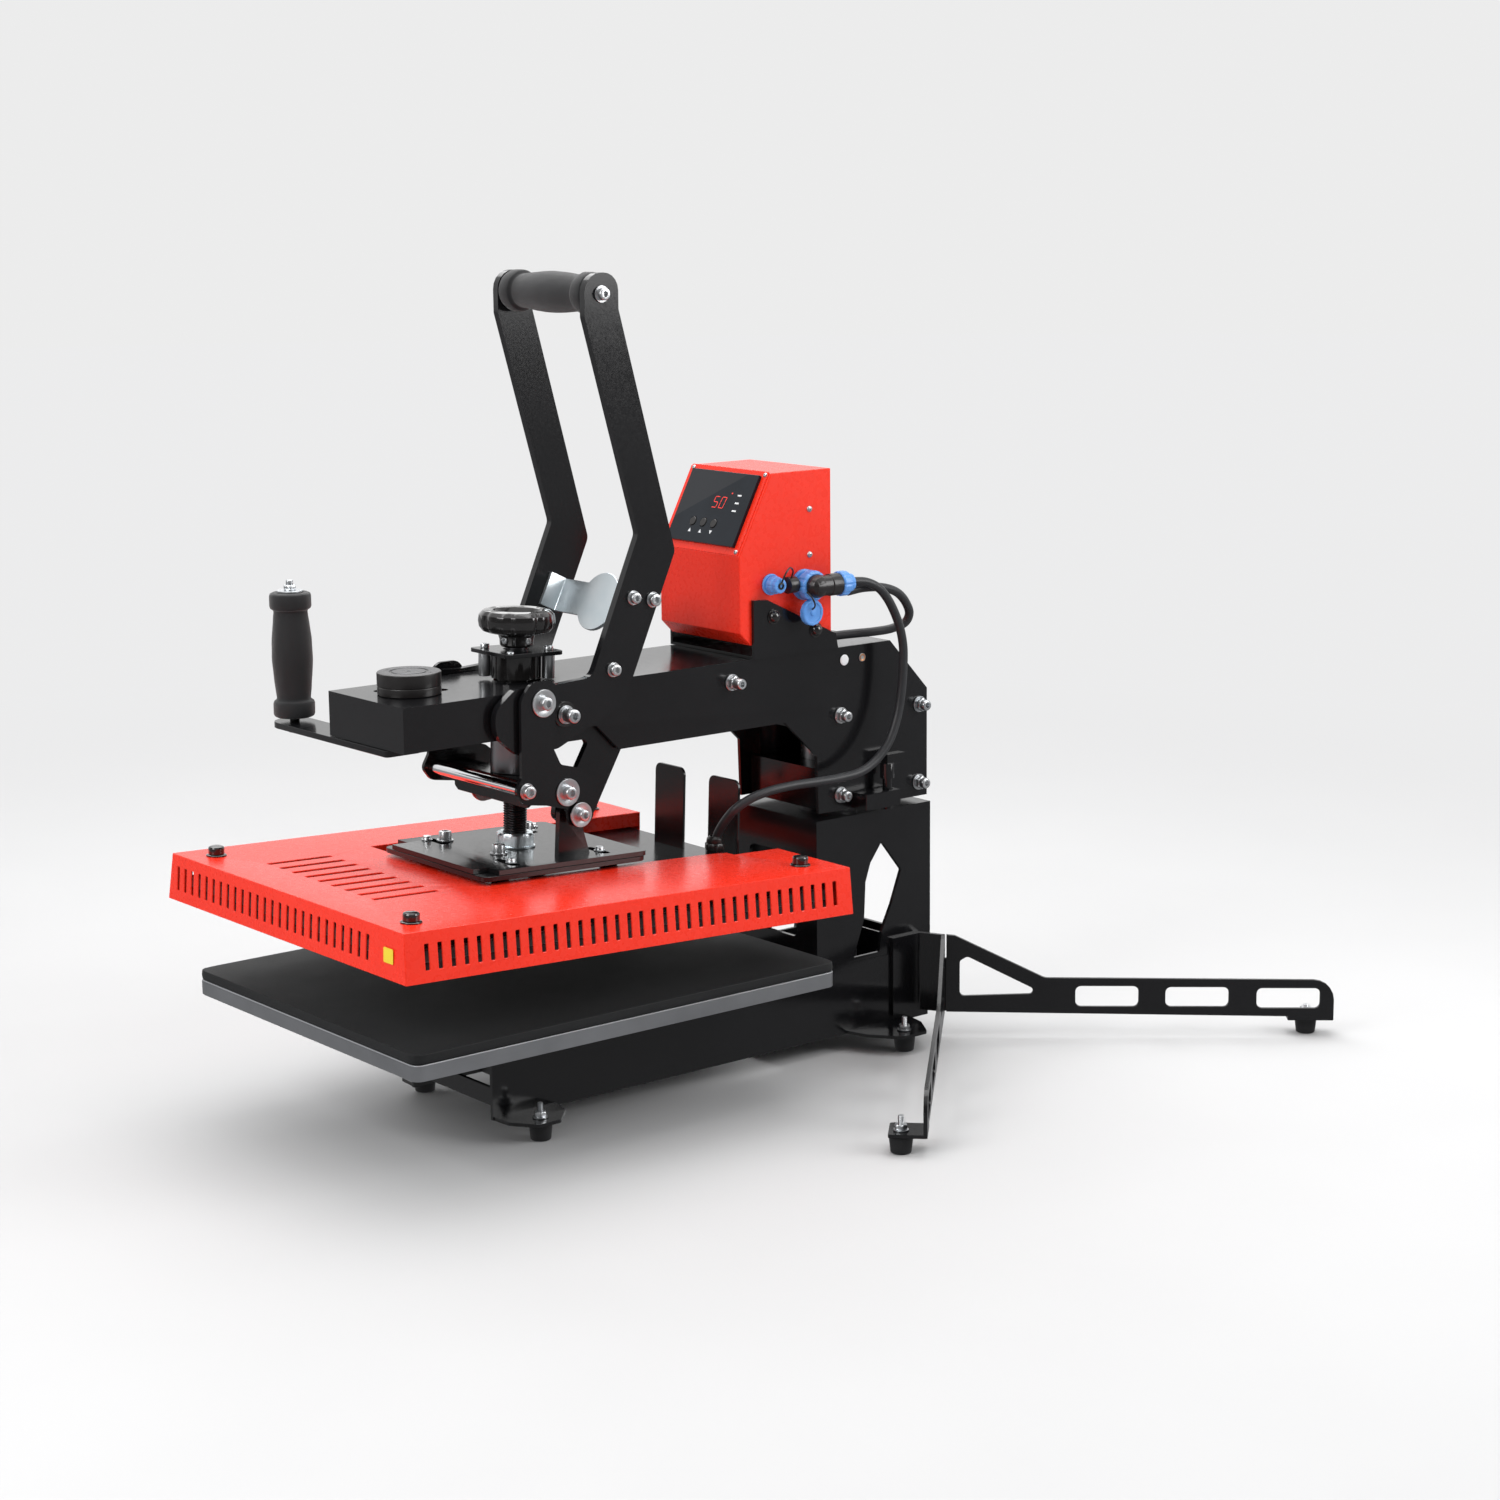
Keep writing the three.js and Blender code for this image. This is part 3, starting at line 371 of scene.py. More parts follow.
def make(name, mesh, finishes, body, bevel_width=0.0, segments=2, angle=32):
    """Turns a bmesh into an object; finishes lists its material slots."""
    bmesh.ops.remove_doubles(mesh, verts=mesh.verts, dist=1e-7)
    bmesh.ops.recalc_face_normals(mesh, faces=mesh.faces)
    data = bpy.data.meshes.new(name)
    mesh.to_mesh(data)
    mesh.free()
    piece = add_object(name, data)
    for finish in finishes.split():
        data.materials.append(FINISHES[finish])
    smooth(piece)
    if bevel_width:
        add_bevel(piece, bevel_width, segments, angle, harden=True)
    else:
        data.set_sharp_from_angle(angle=math.radians(angle))
    if body:
        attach(piece, body)
    return piece


# ---------------------------------------------------------------- lofts, lathes and prisms
def bridge(mesh, lower, upper, slot):
    """Faces between two rings; a ring of one vertex is a pole."""
    if len(lower) == 1 and len(upper) == 1:
        return
    count = max(len(lower), len(upper))
    for i in range(count):
        j = (i + 1) % count
        if len(lower) == 1:
            corners = (lower[0], upper[j], upper[i])
        elif len(upper) == 1:
            corners = (lower[i], lower[j], upper[0])
        else:
            corners = (lower[i], lower[j], upper[j], upper[i])
        mesh.faces.new(corners).material_index = slot


def loft(mesh, rows, place, closed=False, slot=0):
    """Skin over rows of points in mm; closed joins the last row to the first."""
    first = previous = None
    for row in rows:
        ring = [mesh.verts.new(place @ (Vector(point) * MM)) for point in row]
        if previous is None:
            first = ring
        else:
            bridge(mesh, previous, ring, slot)
        previous = ring
    if closed:
        bridge(mesh, previous, first, slot)


def circle(radius, z, count=48):
    if radius <= 1e-9:
        return [(0, 0, z)]
    turns = [2 * math.pi * i / count for i in range(count)]
    return [(radius * math.cos(turn), radius * math.sin(turn), z) for turn in turns]


def circles(stations, count):
    return [circle(radius, z, count) for radius, z in stations]


def hexagon(apothem, z, count, cap=math.inf):
    """Hexagon sampled at count angles; cap clips its corners to a circle."""
    points = []
    for i in range(count):
        turn = 2 * math.pi * i / count
        from_flat = ((turn + math.pi / 6) % (math.pi / 3)) - math.pi / 6
        radius = min(apothem / math.cos(from_flat), cap)
        points.append((radius * math.cos(turn), radius * math.sin(turn), z))
    return points


def soften(profile, radius, steps):
    """Rounds the inner points of a (radius, height) profile."""
    points = [profile[0]]
    for before, corner, after in zip(profile, profile[1:], profile[2:]):
        corner = Vector(corner)
        back, ahead = Vector(before) - corner, Vector(after) - corner
        back_length, ahead_length = back.length, ahead.length
        if back_length < 1e-6 or ahead_length < 1e-6:
            continue
        back /= back_length
        ahead /= ahead_length
        half = math.acos(max(-1, min(1, back.dot(ahead)))) / 2
        if half > math.radians(80):
            points.append(tuple(corner))
            continue
        trim = min(radius / math.tan(half), back_length * 0.45, ahead_length * 0.45)
        start, end = corner + back * trim, corner + ahead * trim
        for k in range(steps + 1):
            t = k / steps
            point = start * (1 - t) ** 2 + corner * 2 * t * (1 - t) + end * t ** 2
            points.append((point.x, point.y))
    points.append(profile[-1])
    return points


def lathe(mesh, profile, place, count=48, fillet=0.35, steps=3, closed=False, slot=0, warp=None):
    """Turns a (radius, height) profile about local z; warp moves each point."""
    if fillet:
        profile = soften(profile, fillet, steps)
    rows = circles([(max(radius, 0), z) for radius, z in profile], count)
    if warp:
        rows = [[warp(*point) for point in row] for row in rows]
    loft(mesh, rows, place, closed, slot)


def rod(mesh, place, radius, bottom, top, count, fillet=0.2, steps=1, slot=0):
    profile = [(0, bottom), (radius, bottom), (radius, top), (0, top)]
    lathe(mesh, profile, place, count, fillet, steps, slot=slot)


def lobed(lobes, depth):
    """Warp that cuts evenly spaced grooves around a lathed part."""
    def warp(x, y, z):
        scale = 1 - depth * max(0.0, math.cos(lobes * math.atan2(y, x))) ** 4
        return (x * scale, y * scale, z)
    return warp


def rounded(corners, steps):
    """Rounded polygon from (x, y, radius) corners."""
    points = []
    for i, (x, y, radius) in enumerate(corners):
        corner = Vector((x, y))
        back = Vector(corners[i - 1][:2]) - corner
        ahead = Vector(corners[(i + 1) % len(corners)][:2]) - corner
        back_length, ahead_length = back.length, ahead.length
        back /= back_length
        ahead /= ahead_length
        half = math.acos(max(-1, min(1, back.dot(ahead)))) / 2
        trim = min(radius / math.tan(half), back_length * 0.49, ahead_length * 0.49)
        radius = trim * math.tan(half)
        centre = corner + (back + ahead).normalized() * (radius / math.sin(half))
        start, end = corner + back * trim - centre, corner + ahead * trim - centre
        angle = math.atan2(start.y, start.x)
        sweep_angle = math.atan2(end.y, end.x) - angle
        while sweep_angle > math.pi:
            sweep_angle -= 2 * math.pi
        while sweep_angle < -math.pi:
            sweep_angle += 2 * math.pi
        for k in range(steps + 1):
            turn = angle + sweep_angle * k / steps
            points.append(Vector((centre.x + radius * math.cos(turn),
                                  centre.y + radius * math.sin(turn))))
    return points


def rounded_box(left, bottom, right, top, radius, steps):
    corners = ((left, bottom), (right, bottom), (right, top), (left, top))
    return rounded([(x, y, radius) for x, y in corners], steps)


def prism(mesh, outline, bottom, top, place):
    """Outline (x, y) extruded along local z."""
    lower, upper = [[mesh.verts.new(place @ (Vector((p[0], p[1], z)) * MM)) for p in outline]
                    for z in (bottom, top)]
    mesh.faces.new(list(reversed(lower)))
    mesh.faces.new(upper)
    bridge(mesh, lower, upper, 0)


def catmull(points, per_span):
    """Centripetal Catmull-Rom curve through the points."""
    def between(a, b, start, end, t):
        return a * ((end - t) / (end - start)) + b * ((t - start) / (end - start))

    knots = [Vector(point) for point in points]
    knots = [knots[0] * 2 - knots[1]] + knots + [knots[-1] * 2 - knots[-2]]
    curve = []
    for a, b, c, d in zip(knots, knots[1:], knots[2:], knots[3:]):
        t0 = 0.0
        t1 = t0 + (b - a).length ** 0.5
        t2 = t1 + (c - b).length ** 0.5
        t3 = t2 + (d - c).length ** 0.5
        for k in range(per_span):
            t = t1 + (t2 - t1) * k / per_span
            ab = between(a, b, t0, t1, t)
            bc = between(b, c, t1, t2, t)
            cd = between(c, d, t2, t3, t)
            abc = between(ab, bc, t0, t2, t)
            bcd = between(bc, cd, t1, t3, t)
            curve.append(between(abc, bcd, t1, t2, t))
    curve.append(knots[-2])
    return curve


def sweep(mesh, path, radius, count):
    """Closed tube along bench points, its rings carried without twist."""
    tangent = (path[1] - path[0]).normalized()
    across = tangent.orthogonal().normalized()
    turns = [2 * math.pi * k / count for k in range(count)]
    rows = [[path[0]]]
    for i, point in enumerate(path):
        ahead = (path[min(i + 1, len(path) - 1)] - path[max(i - 1, 0)]).normalized()
        across = (tangent.rotation_difference(ahead) @ across).normalized()
        tangent = ahead
        normal = tangent.cross(across)
        rows.append([point + (across * math.cos(turn) + normal * math.sin(turn)) * radius
                     for turn in turns])
    rows.append([path[-1]])
    loft(mesh, rows, BENCH)


# ---------------------------------------------------------------- stock fasteners
# Each stands on its local z = 0.
def socket_screw(mesh, place, radius, height, count=36):
    """Cap screw head with a hexagon socket."""
    socket = radius * 0.48
    rows = circles([(0, 0), (radius, 0), (radius, height * 0.86),
                    (radius * 0.93, height * 0.96), (radius * 0.84, height)], count)
    rows += [hexagon(socket, height, count), hexagon(socket * 0.96, height * 0.45, count),
             circle(0, height * 0.40, count)]
    loft(mesh, rows, place)


def washer(mesh, place, inner, outer, thickness, count=40):
    stations = [(inner, 0), (outer - 0.3, 0), (outer, 0.3), (outer, thickness - 0.3),
                (outer - 0.3, thickness), (inner + 0.2, thickness), (inner, thickness - 0.2)]
    loft(mesh, circles(stations, count), place, closed=True)


def disc_washer(mesh, place, outer, thickness):
    """Large flat washer with a pressed centre."""
    centre = thickness - 0.25
    stations = [(0, 0), (outer - 0.3, 0), (outer, 0.3), (outer, thickness - 0.4),
                (outer - 0.4, thickness), (outer * 0.62, thickness), (outer * 0.56, centre),
                (0, centre)]
    loft(mesh, circles(stations, 48), place)


def hex_nut(mesh, place, apothem, height, bore=0.0, slot=0, count=48):
    cap = apothem * 1.12 * 1.01
    rows = [circle(bore, 0, count), circle(apothem * 0.97, 0, count),
            hexagon(apothem, height * 0.12, count, cap),
            hexagon(apothem, height * 0.88, count, cap),
            circle(apothem * 0.97, height, count)]
    if bore:
        rows += circles([(bore + 0.5, height), (bore, height - 0.5), (bore, 0.0)], count)
    else:
        rows.append(circle(0, height, count))
    loft(mesh, rows, place, slot=slot)


def button_screw(mesh, place, radius, height, count=32):
    """Domed screw with a hexagon recess."""
    arc = math.radians(62)
    stations = [(0, 0), (radius, 0)]
    for k in range(1, 5):
        turn = k / 4 * arc
        stations.append((radius * math.cos(turn), height * math.sin(turn) / math.sin(arc)))
    rows = circles(stations, count)
    rows += [hexagon(radius * 0.30, height, count), hexagon(radius * 0.28, height * 0.4, count),
             circle(0, height * 0.35, count)]
    loft(mesh, rows, place)


def dome(mesh, place, radius, height):
    stations = [(0, 0), (radius, 0)]
    for k in range(1, 8):
        turn = k / 7 * math.pi / 2
        stations.append((radius * math.cos(turn) ** 0.9 if k < 7 else 0,
                         height * math.sin(turn)))
    loft(mesh, circles(stations, 36), place)


# ---------------------------------------------------------------- CAD pieces that stay
# finish, edge width, pieces
CAD_FINISHES = [
    ("black", 0.5, "flange_plate"),
    ("black", 0.6, "head_bearing swing_lock_block link_plate_right link_plate_left"),
    ("black", 0.7, "carrier_legs"),
    ("black", 0.8, "platen_support outrigger_rear outrigger_front control_cradle"
                   " swing_grip_bracket cross_beam"),
    ("black", 0.9, "base_frame column_housing"),
    ("black", 1.0, "swing_lock_pin handle_bar_right handle_bar_left"),
    ("black", 1.4, "arm_channel"),
    ("steel", 0.5, "swing_post"),
    ("steel", 0.6, "heating_element"),
    ("alu", 1.0, "lower_platen"),
    ("zinc", 0.5, "head_bolt_upper_rear head_bolt_lower_rear arm_bolt_middle"
                  " handle_pivot_right handle_pivot_left"),
    ("zinc_blue", 0.5, "magnet_armature"),
    ("red", 0.9, "control_housing"),
    ("red", 0.7, "platen_cover"),
    ("board", 0.3, "controller_board"),
    ("copper", 0.8, "power_transformer"),
    ("display", 0.5, "display_panel"),
    ("blackplastic", 0.6, "set_button_a set_button_b set_button_c power_switch"),
    ("gloss", 0.5, "guide_core"),
    ("chrome", 0.5, "tie_rod"),
    ("ramsteel", 0.4, "ram_tube"),
    ("inner", 0.5, "pressure_plate_upper platen_tray"),
    ("inner", 0.6, "pressure_plate_lower"),
    ("wool", 1.5, "insulation_blanket"),
    ("heater", 0.8, "heater_plate"),
]


def finish_cad_piece(name, finish, edge_width):
    piece = CAD_NODES[name]
    piece.data.materials.clear()
    piece.data.materials.append(FINISHES[finish])
    smooth(piece)
    weld = piece.modifiers.new("weld", "WELD")
    weld.merge_threshold = 1e-5
    add_bevel(piece, edge_width * 0.8, segments=1, angle=32, harden=False)
    split = piece.modifiers.new("split", "EDGE_SPLIT")
    split.split_angle = math.radians(25)
    split.use_edge_sharp = False


for finish, edge_width, names in CAD_FINISHES:
    for name in names.split():
        finish_cad_piece(name, finish, edge_width)


# ---------------------------------------------------------------- pad
def build_pad():
    """Soft crowned sheet with round corners and bulging sides; lengths in metres."""
    low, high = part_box("platen_pad")
    mid_x, mid_y = (low.x + high.x) / 2, (low.y + high.y) / 2
    half_x, half_y = (high.x - low.x) / 2, (high.y - low.y) / 2
    thickness = high.z - low.z
    corner = 0.010
    cells_x, cells_y = 60, 74
    lip_drop, lip_reach = -0.00045, 0.012
    side_rows = [(0.82, 0.0005), (0.5, 0.0009), (0.18, 0.0006), (0.0, 0.0)]  # height, bulge
    mesh = bmesh.new()

    def in_outline(u, v):
        x, y = u * half_x, v * half_y
        over_x, over_y = abs(x) - (half_x - corner), abs(y) - (half_y - corner)
        if over_x > 0 and over_y > 0:
            scale = max(over_x, over_y) / math.hypot(over_x, over_y)
            x = math.copysign(half_x - corner + over_x * scale, x)
            y = math.copysign(half_y - corner + over_y * scale, y)
        return x, y

    def crown(x, y):
        inside = max(0.0, 1 - (abs(x) / half_x) ** 6) * max(0.0, 1 - (abs(y) / half_y) ** 6)
        waves = (noise.noise(Vector((x * 9, y * 9, 0.4))) * 0.00022
                 + noise.noise(Vector((x * 28, y * 28, 2.0))) * 0.00006)
        lip = (lip_drop * math.exp(-((half_x - abs(x)) / lip_reach))
               + lip_drop * math.exp(-((half_y - abs(y)) / lip_reach)))
        return 0.0003 * inside + waves * inside + lip

    grid = []
    for i in range(cells_x + 1):
        column = []
        for j in range(cells_y + 1):
            x, y = in_outline(2 * i / cells_x - 1, 2 * j / cells_y - 1)
            column.append(mesh.verts.new((mid_x + x, mid_y + y, high.z + crown(x, y))))
        grid.append(column)
    for near, far in zip(grid, grid[1:]):
        for j in range(cells_y):
            mesh.faces.new((near[j], far[j], far[j + 1], near[j + 1]))
    rim = ([grid[i][0] for i in range(cells_x)]
           + [grid[cells_x][j] for j in range(cells_y)]
           + [grid[i][cells_y] for i in range(cells_x, 0, -1)]
           + [grid[0][j] for j in range(cells_y, 0, -1)])

    def edge_sign(offset, half):
        return math.copysign(1, offset) if abs(abs(offset) - half) < 0.002 else 0

    previous = rim
    for height, bulge in side_rows:
        ring = []
        for vert in rim:
            x, y = vert.co.x, vert.co.y
            offset = Vector((x - mid_x, y - mid_y, 0))
            normal = Vector((edge_sign(offset.x, half_x), edge_sign(offset.y, half_y), 0))
            if normal.length == 0:
                normal = offset
            normal.normalize()
            wobble = noise.noise(Vector((x * 40, y * 40, height * 3))) * 0.00025
            out = bulge + wobble - 0.0006
            ring.append(mesh.verts.new((x + normal.x * out, y + normal.y * out,
                                        low.z + thickness * height)))
        for k in range(len(rim)):
            j = (k + 1) % len(rim)
            mesh.faces.new((previous[j], previous[k], ring[k], ring[j]))
        previous = ring
    mesh.faces.new(previous)
    pad = make("pad_sheet", mesh, "pad", "base", 1.3, 3, 40)
    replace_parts(pad, "platen_pad")


build_pad()


# ---------------------------------------------------------------- feet
def build_foot(node, stud_top=13):
    """Rubber foot with a flange, a nut and a threaded stud above it."""
    low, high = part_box(node)
    centre = (low + high) / 2
    flange_top = 23.2
    mesh = bmesh.new()
    place = frame_to(Vector((centre.x, centre.y, low.z)), UP)
    lathe(mesh, [(0, 2.4), (5.0, 2.4), (5.4, 0.2), (9.4, 0), (10.2, 0.9), (11.9, 16.2),
                 (11.5, 17.6), (0, 17.6)], place, 56, 0.5, 3)
    rod(mesh, place, 7.6, 21.8, flange_top, 40, steps=2, slot=1)
    place = place @ shift(0, 0, flange_top)
    hex_nut(mesh, place, 5.6, 5.0, slot=1)
    stations = [(0, 0)]
    for z in range(4, stud_top):
        stations += [(3.1, z), (2.7, z + 0.5), (3.1, z + 1.0)]
    stations += [(2.6, stud_top + 0.6), (0, stud_top + 0.7)]
    loft(mesh, circles(stations, 20), place, slot=1)
    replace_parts(make(node + "_rubber", mesh, "rubber zinc", "base", angle=40), node)


for corner in ("front_right", "front_left", "rear_right", "rear_left"):
    build_foot("foot_" + corner)
build_foot("outrigger_foot_front")
build_foot("outrigger_foot_rear", stud_top=7)


# ---------------------------------------------------------------- grips
GRIP_COLLAR, GRIP_NECK, GRIP_BELLY = 20.6, 16.8, 20.2     # radii
GRIP_COLLAR_LENGTH = 17.5
HANDLE_GRIP_Y, HANDLE_GRIP_Z = 63.7, 811.8
SWING_GRIP_X, SWING_GRIP_Y = -161, -150.5
HANDLE_SIDE_X = 77.1              # outer face of each handle bar


def grip_profile(half):
    """Foam sleeve: square-shouldered end collars, narrow necks and a full belly."""
    collar, neck, shoulder = GRIP_COLLAR, GRIP_NECK, -half + GRIP_COLLAR_LENGTH
    lower = [(5, -half), (collar - 3.0, -half), (collar - 0.7, -half + 1.2),
             (collar, -half + 3.4), (collar, shoulder - 4), (collar - 0.8, shoulder - 1.6),
             (neck + 0.6, shoulder), (neck, shoulder + 1.4)]
    for k in range(1, 8):
        t = k / 8
        lower.append((neck + (GRIP_BELLY - neck) * math.sin(t * math.pi / 2) ** 1.15,
                      shoulder + 1.4 + (half - GRIP_COLLAR_LENGTH - 1.4) * t))
    return lower + [(GRIP_BELLY, 0)] + [(radius, -z) for radius, z in reversed(lower)]


def lumpy(seed):
    """Warp that makes the foam slightly uneven outside its bore."""
    def warp(x, y, z):
        radius = math.hypot(x, y)
        if radius < 6:
            return (x, y, z)
        lump = noise.noise(Vector((x * 0.12 + seed, y * 0.12, z * 0.09)))
        scale = 1 + lump * 0.12 / radius * 3
        return (x * scale, y * scale, z)
    return warp


def build_grip(name, node, body, place, half, seed):
    mesh = bmesh.new()
    lathe(mesh, grip_profile(half), place, 72, 1.4, 4, closed=True, warp=lumpy(seed))
    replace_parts(make(name, mesh, "foam", body, angle=50), node)


def washer_and_screw(mesh, side, y, z, bore, outer, thickness, head):
    washer(mesh, beside(side, HANDLE_SIDE_X, y, z), bore, outer, thickness)
    socket_screw(mesh, beside(side, HANDLE_SIDE_X + thickness, y, z), head, 5.6)


def build_handle_grip():
    axle = beside(1, 0, HANDLE_GRIP_Y, HANDLE_GRIP_Z)
    build_grip("handle_foam_grip", "handle_grip", "handle", axle, 68.4, seed=3)
    mesh = bmesh.new()
    for side in SIDES:
        washer_and_screw(mesh, side, HANDLE_GRIP_Y, HANDLE_GRIP_Z, 3.0, 8.2, 1.6, 6.0)
        # lower down each bar: y, z, head radius
        for y, z, head in ((95.5, 516.2, 5.6), (119.5, 512.0, 6.2), (69.6, 447.7, 5.8)):
            washer_and_screw(mesh, side, y, z, 2.6, head + 1.6, 1.2, head)
    rod(mesh, axle, 4.6, -70, 70, 24)
    make("handle_screws", mesh, "zinc", "handle", angle=40)


def build_swing_grip():
    x, y = SWING_GRIP_X, SWING_GRIP_Y
    build_grip("swing_foam_grip", "swing_grip", "swing_arm", at(x, y, 458.5), 62.4, seed=8)
    mesh = bmesh.new()
    washer(mesh, at(x, y, 521.2), 3.0, 13.2, 1.8)
    top = at(x, y, 523.0)
    hex_nut(mesh, top, 5.8, 5.4)
    lathe(mesh, [(0, 5.2), (3.6, 5.2), (3.6, 9.4), (3.0, 10.2), (0, 10.2)], top, 20, 0.2, 1)
    hex_nut(mesh, at(x, y, 385.4, Vector((0, 0, -1))), 6.4, 5.0)
    make("swing_grip_nuts", mesh, "zinc", "swing_arm", angle=40)


build_handle_grip()
build_swing_grip()


# ---------------------------------------------------------------- pressure knob, screw and nut
# radius, height in the press frame
KNOB_PROFILE = [
    (12.8, 192.5), (14.9, 192.5), (16.6, 194.6), (16.9, 200.0), (18.4, 204.2), (23.5, 207.8),
    (28.6, 206.6), (33.8, 208.4), (37.2, 212.6), (38.2, 218.4), (37.3, 224.6), (33.8, 228.4),
    (28.3, 229.8), (24.2, 228.4), (21.8, 225.2), (20.4, 222.9), (15.5, 222.3), (14.6, 223.2),
    (0, 223.2),
]


def knob_lobes(x, y, z):
    """Eight finger grooves that fade in from the hub to the rim."""
    radius = math.hypot(x, y)
    if radius < 22 or z < 207:
        return (x, y, z)
    weight = max(0.0, min(1.0, (radius - 22) / 12))
    scale = 1 - 0.062 * weight * max(0.0, math.cos(8 * math.atan2(y, x))) ** 4
    return (x * scale, y * scale, z)


def build_knob():
    mesh = bmesh.new()
    lathe(mesh, KNOB_PROFILE, PRESS, 96, 1.6, 4, warp=knob_lobes)
    lathe(mesh, [(12.8, 192.5), (12.8, 205.6), (0, 205.6)], PRESS, 96, 0.3, 2)
    wheel = make("pressure_knob_wheel", mesh, "gloss", "knob", angle=60)
    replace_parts(wheel, "pressure_knob")
    mesh = bmesh.new()
    lathe(mesh, [(0, 223.3), (13.6, 223.3), (14.0, 223.7), (14.0, 224.2), (13.4, 224.7),
                 (0, 224.9)], PRESS, 64, 0.25, 2)
    for x, y in ((0.20, -0.98), (0.99, 0.12)):
        outward = Vector((x, y, 0)).normalized()
        foot = outward * 16.2
        place = frame_to(press_point(foot.x, foot.y, 199.4), PRESS.to_3x3() @ outward)
        socket_screw(mesh, place, 3.4, 1.8)
    make("knob_cap_and_setscrew", mesh, "zinc", "knob", angle=40)


def build_pressure_screw():
    count, pitch, radius, depth = 40, 2.5, 12.0, 1.25
    start, end = 6.0, 60
    rows = circles([(0, -1.5), (10.5, -1.5), (10.5, 5.8)], count)
    for i in range(int((end - start) / (pitch / 8)) + 1):
        z = start + i * pitch / 8
        row = []
        for k in range(count):
            phase = (z / pitch - k / count) % 1.0
            groove = min(1.0, max(0.0, (abs(phase - 0.5) * 2 - 0.12) / 0.76))
            reach = radius - depth * groove
            turn = 2 * math.pi * k / count
            row.append((reach * math.cos(turn), reach * math.sin(turn), z))
        rows.append(row)
    rows += circles([(11.4, 61), (11.4, 200), (10.6, 201), (0, 201)], count)
    mesh = bmesh.new()
    loft(mesh, rows, PRESS)
    screw = make("pressure_screw_thread", mesh, "screwsteel", "screw", angle=25)
    mesh = bmesh.new()
    hex_nut(mesh, PRESS @ shift(0, 0, -7.6), 17.9, 14.4, 11.9, count=72)
    washer(mesh, PRESS @ shift(0, 0, -7.8), 11.9, 20.3, 1.6, count=72)
    make("pressure_nut", mesh, "zinc_blue", "screw", angle=28)
    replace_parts(screw, "pressure_screw")


build_knob()
build_pressure_screw()


# ---------------------------------------------------------------- holding magnet
def build_magnet():
    """Pot with two bare pole faces, a groove between them and two small screws."""
    low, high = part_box("holding_magnet")
    centre = (low + high) / 2
    bottom, top = low.z * 1000 + PAD_TOP, high.z * 1000 + PAD_TOP
    place = frame_to(Vector((centre.x, centre.y, 0)), UP) @ BENCH
    body = [(0, bottom), (30.4, bottom), (30.9, bottom + 0.6), (30.9, bottom + 7.6),
            (30.6, bottom + 8.0), (30.6, bottom + 8.6), (31.0, bottom + 9.0),
            (31.0, top - 0.8), (30.4, top - 0.1), (28.4, top - 0.1)]
    outer_pole = [(28.4, top - 0.1), (28.2, top), (19.2, top), (18.6, top - 0.8)]
    groove = [(18.6, top - 0.8), (17.4, top - 0.8), (16.8, top - 0.8)]
    inner_pole = [(16.8, top - 0.8), (16.4, top - 0.05), (2.2, top - 0.05), (1.9, top - 0.7),
                  (0, top - 0.9)]
    mesh = bmesh.new()
    for profile, fillet, steps, slot in ((body, 0.25, 2, 0), (outer_pole, 0.1, 1, 1),
                                         (groove, 0, 1, 0), (inner_pole, 0.1, 1, 1)):
        lathe(mesh, profile, place, 96, fillet, steps, slot=slot)
    for turn in (0.5, 0.5 + math.pi):
        screw = shift(23.5 * math.cos(turn), 23.5 * math.sin(turn), top - 0.3)
        button_screw(mesh, place @ screw, 2.3, 0.6)
    pot = make("magnet_pot", mesh, "blackplastic magface", "swing_arm", angle=38)
    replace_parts(pot, "holding_magnet")


build_magnet()


# ---------------------------------------------------------------- fasteners
STUD_Z = 422                      # height of the rivet and plugs on the arm sides
LINK_SIDE_X = 83.6
PIVOT_Y, PIVOT_Z = 9.7, 410.7     # handle pivots
STANDOFFS = ((-22.5, -22.5), (22.5, 22.5))


def arm_bolt_end(mesh, side, y, z, bore, nut_height, head_height):
    """Washer, nut and socket head stacked on one side of the arm."""
    face = 66.6
    nut = face + 1.8
    washer(mesh, beside(side, face, y, z), bore, 8.6, 1.8)
    hex_nut(mesh, beside(side, nut, y, z), 6.4, nut_height)
    socket_screw(mesh, beside(side, nut + nut_height, y, z), 5.6, head_height)


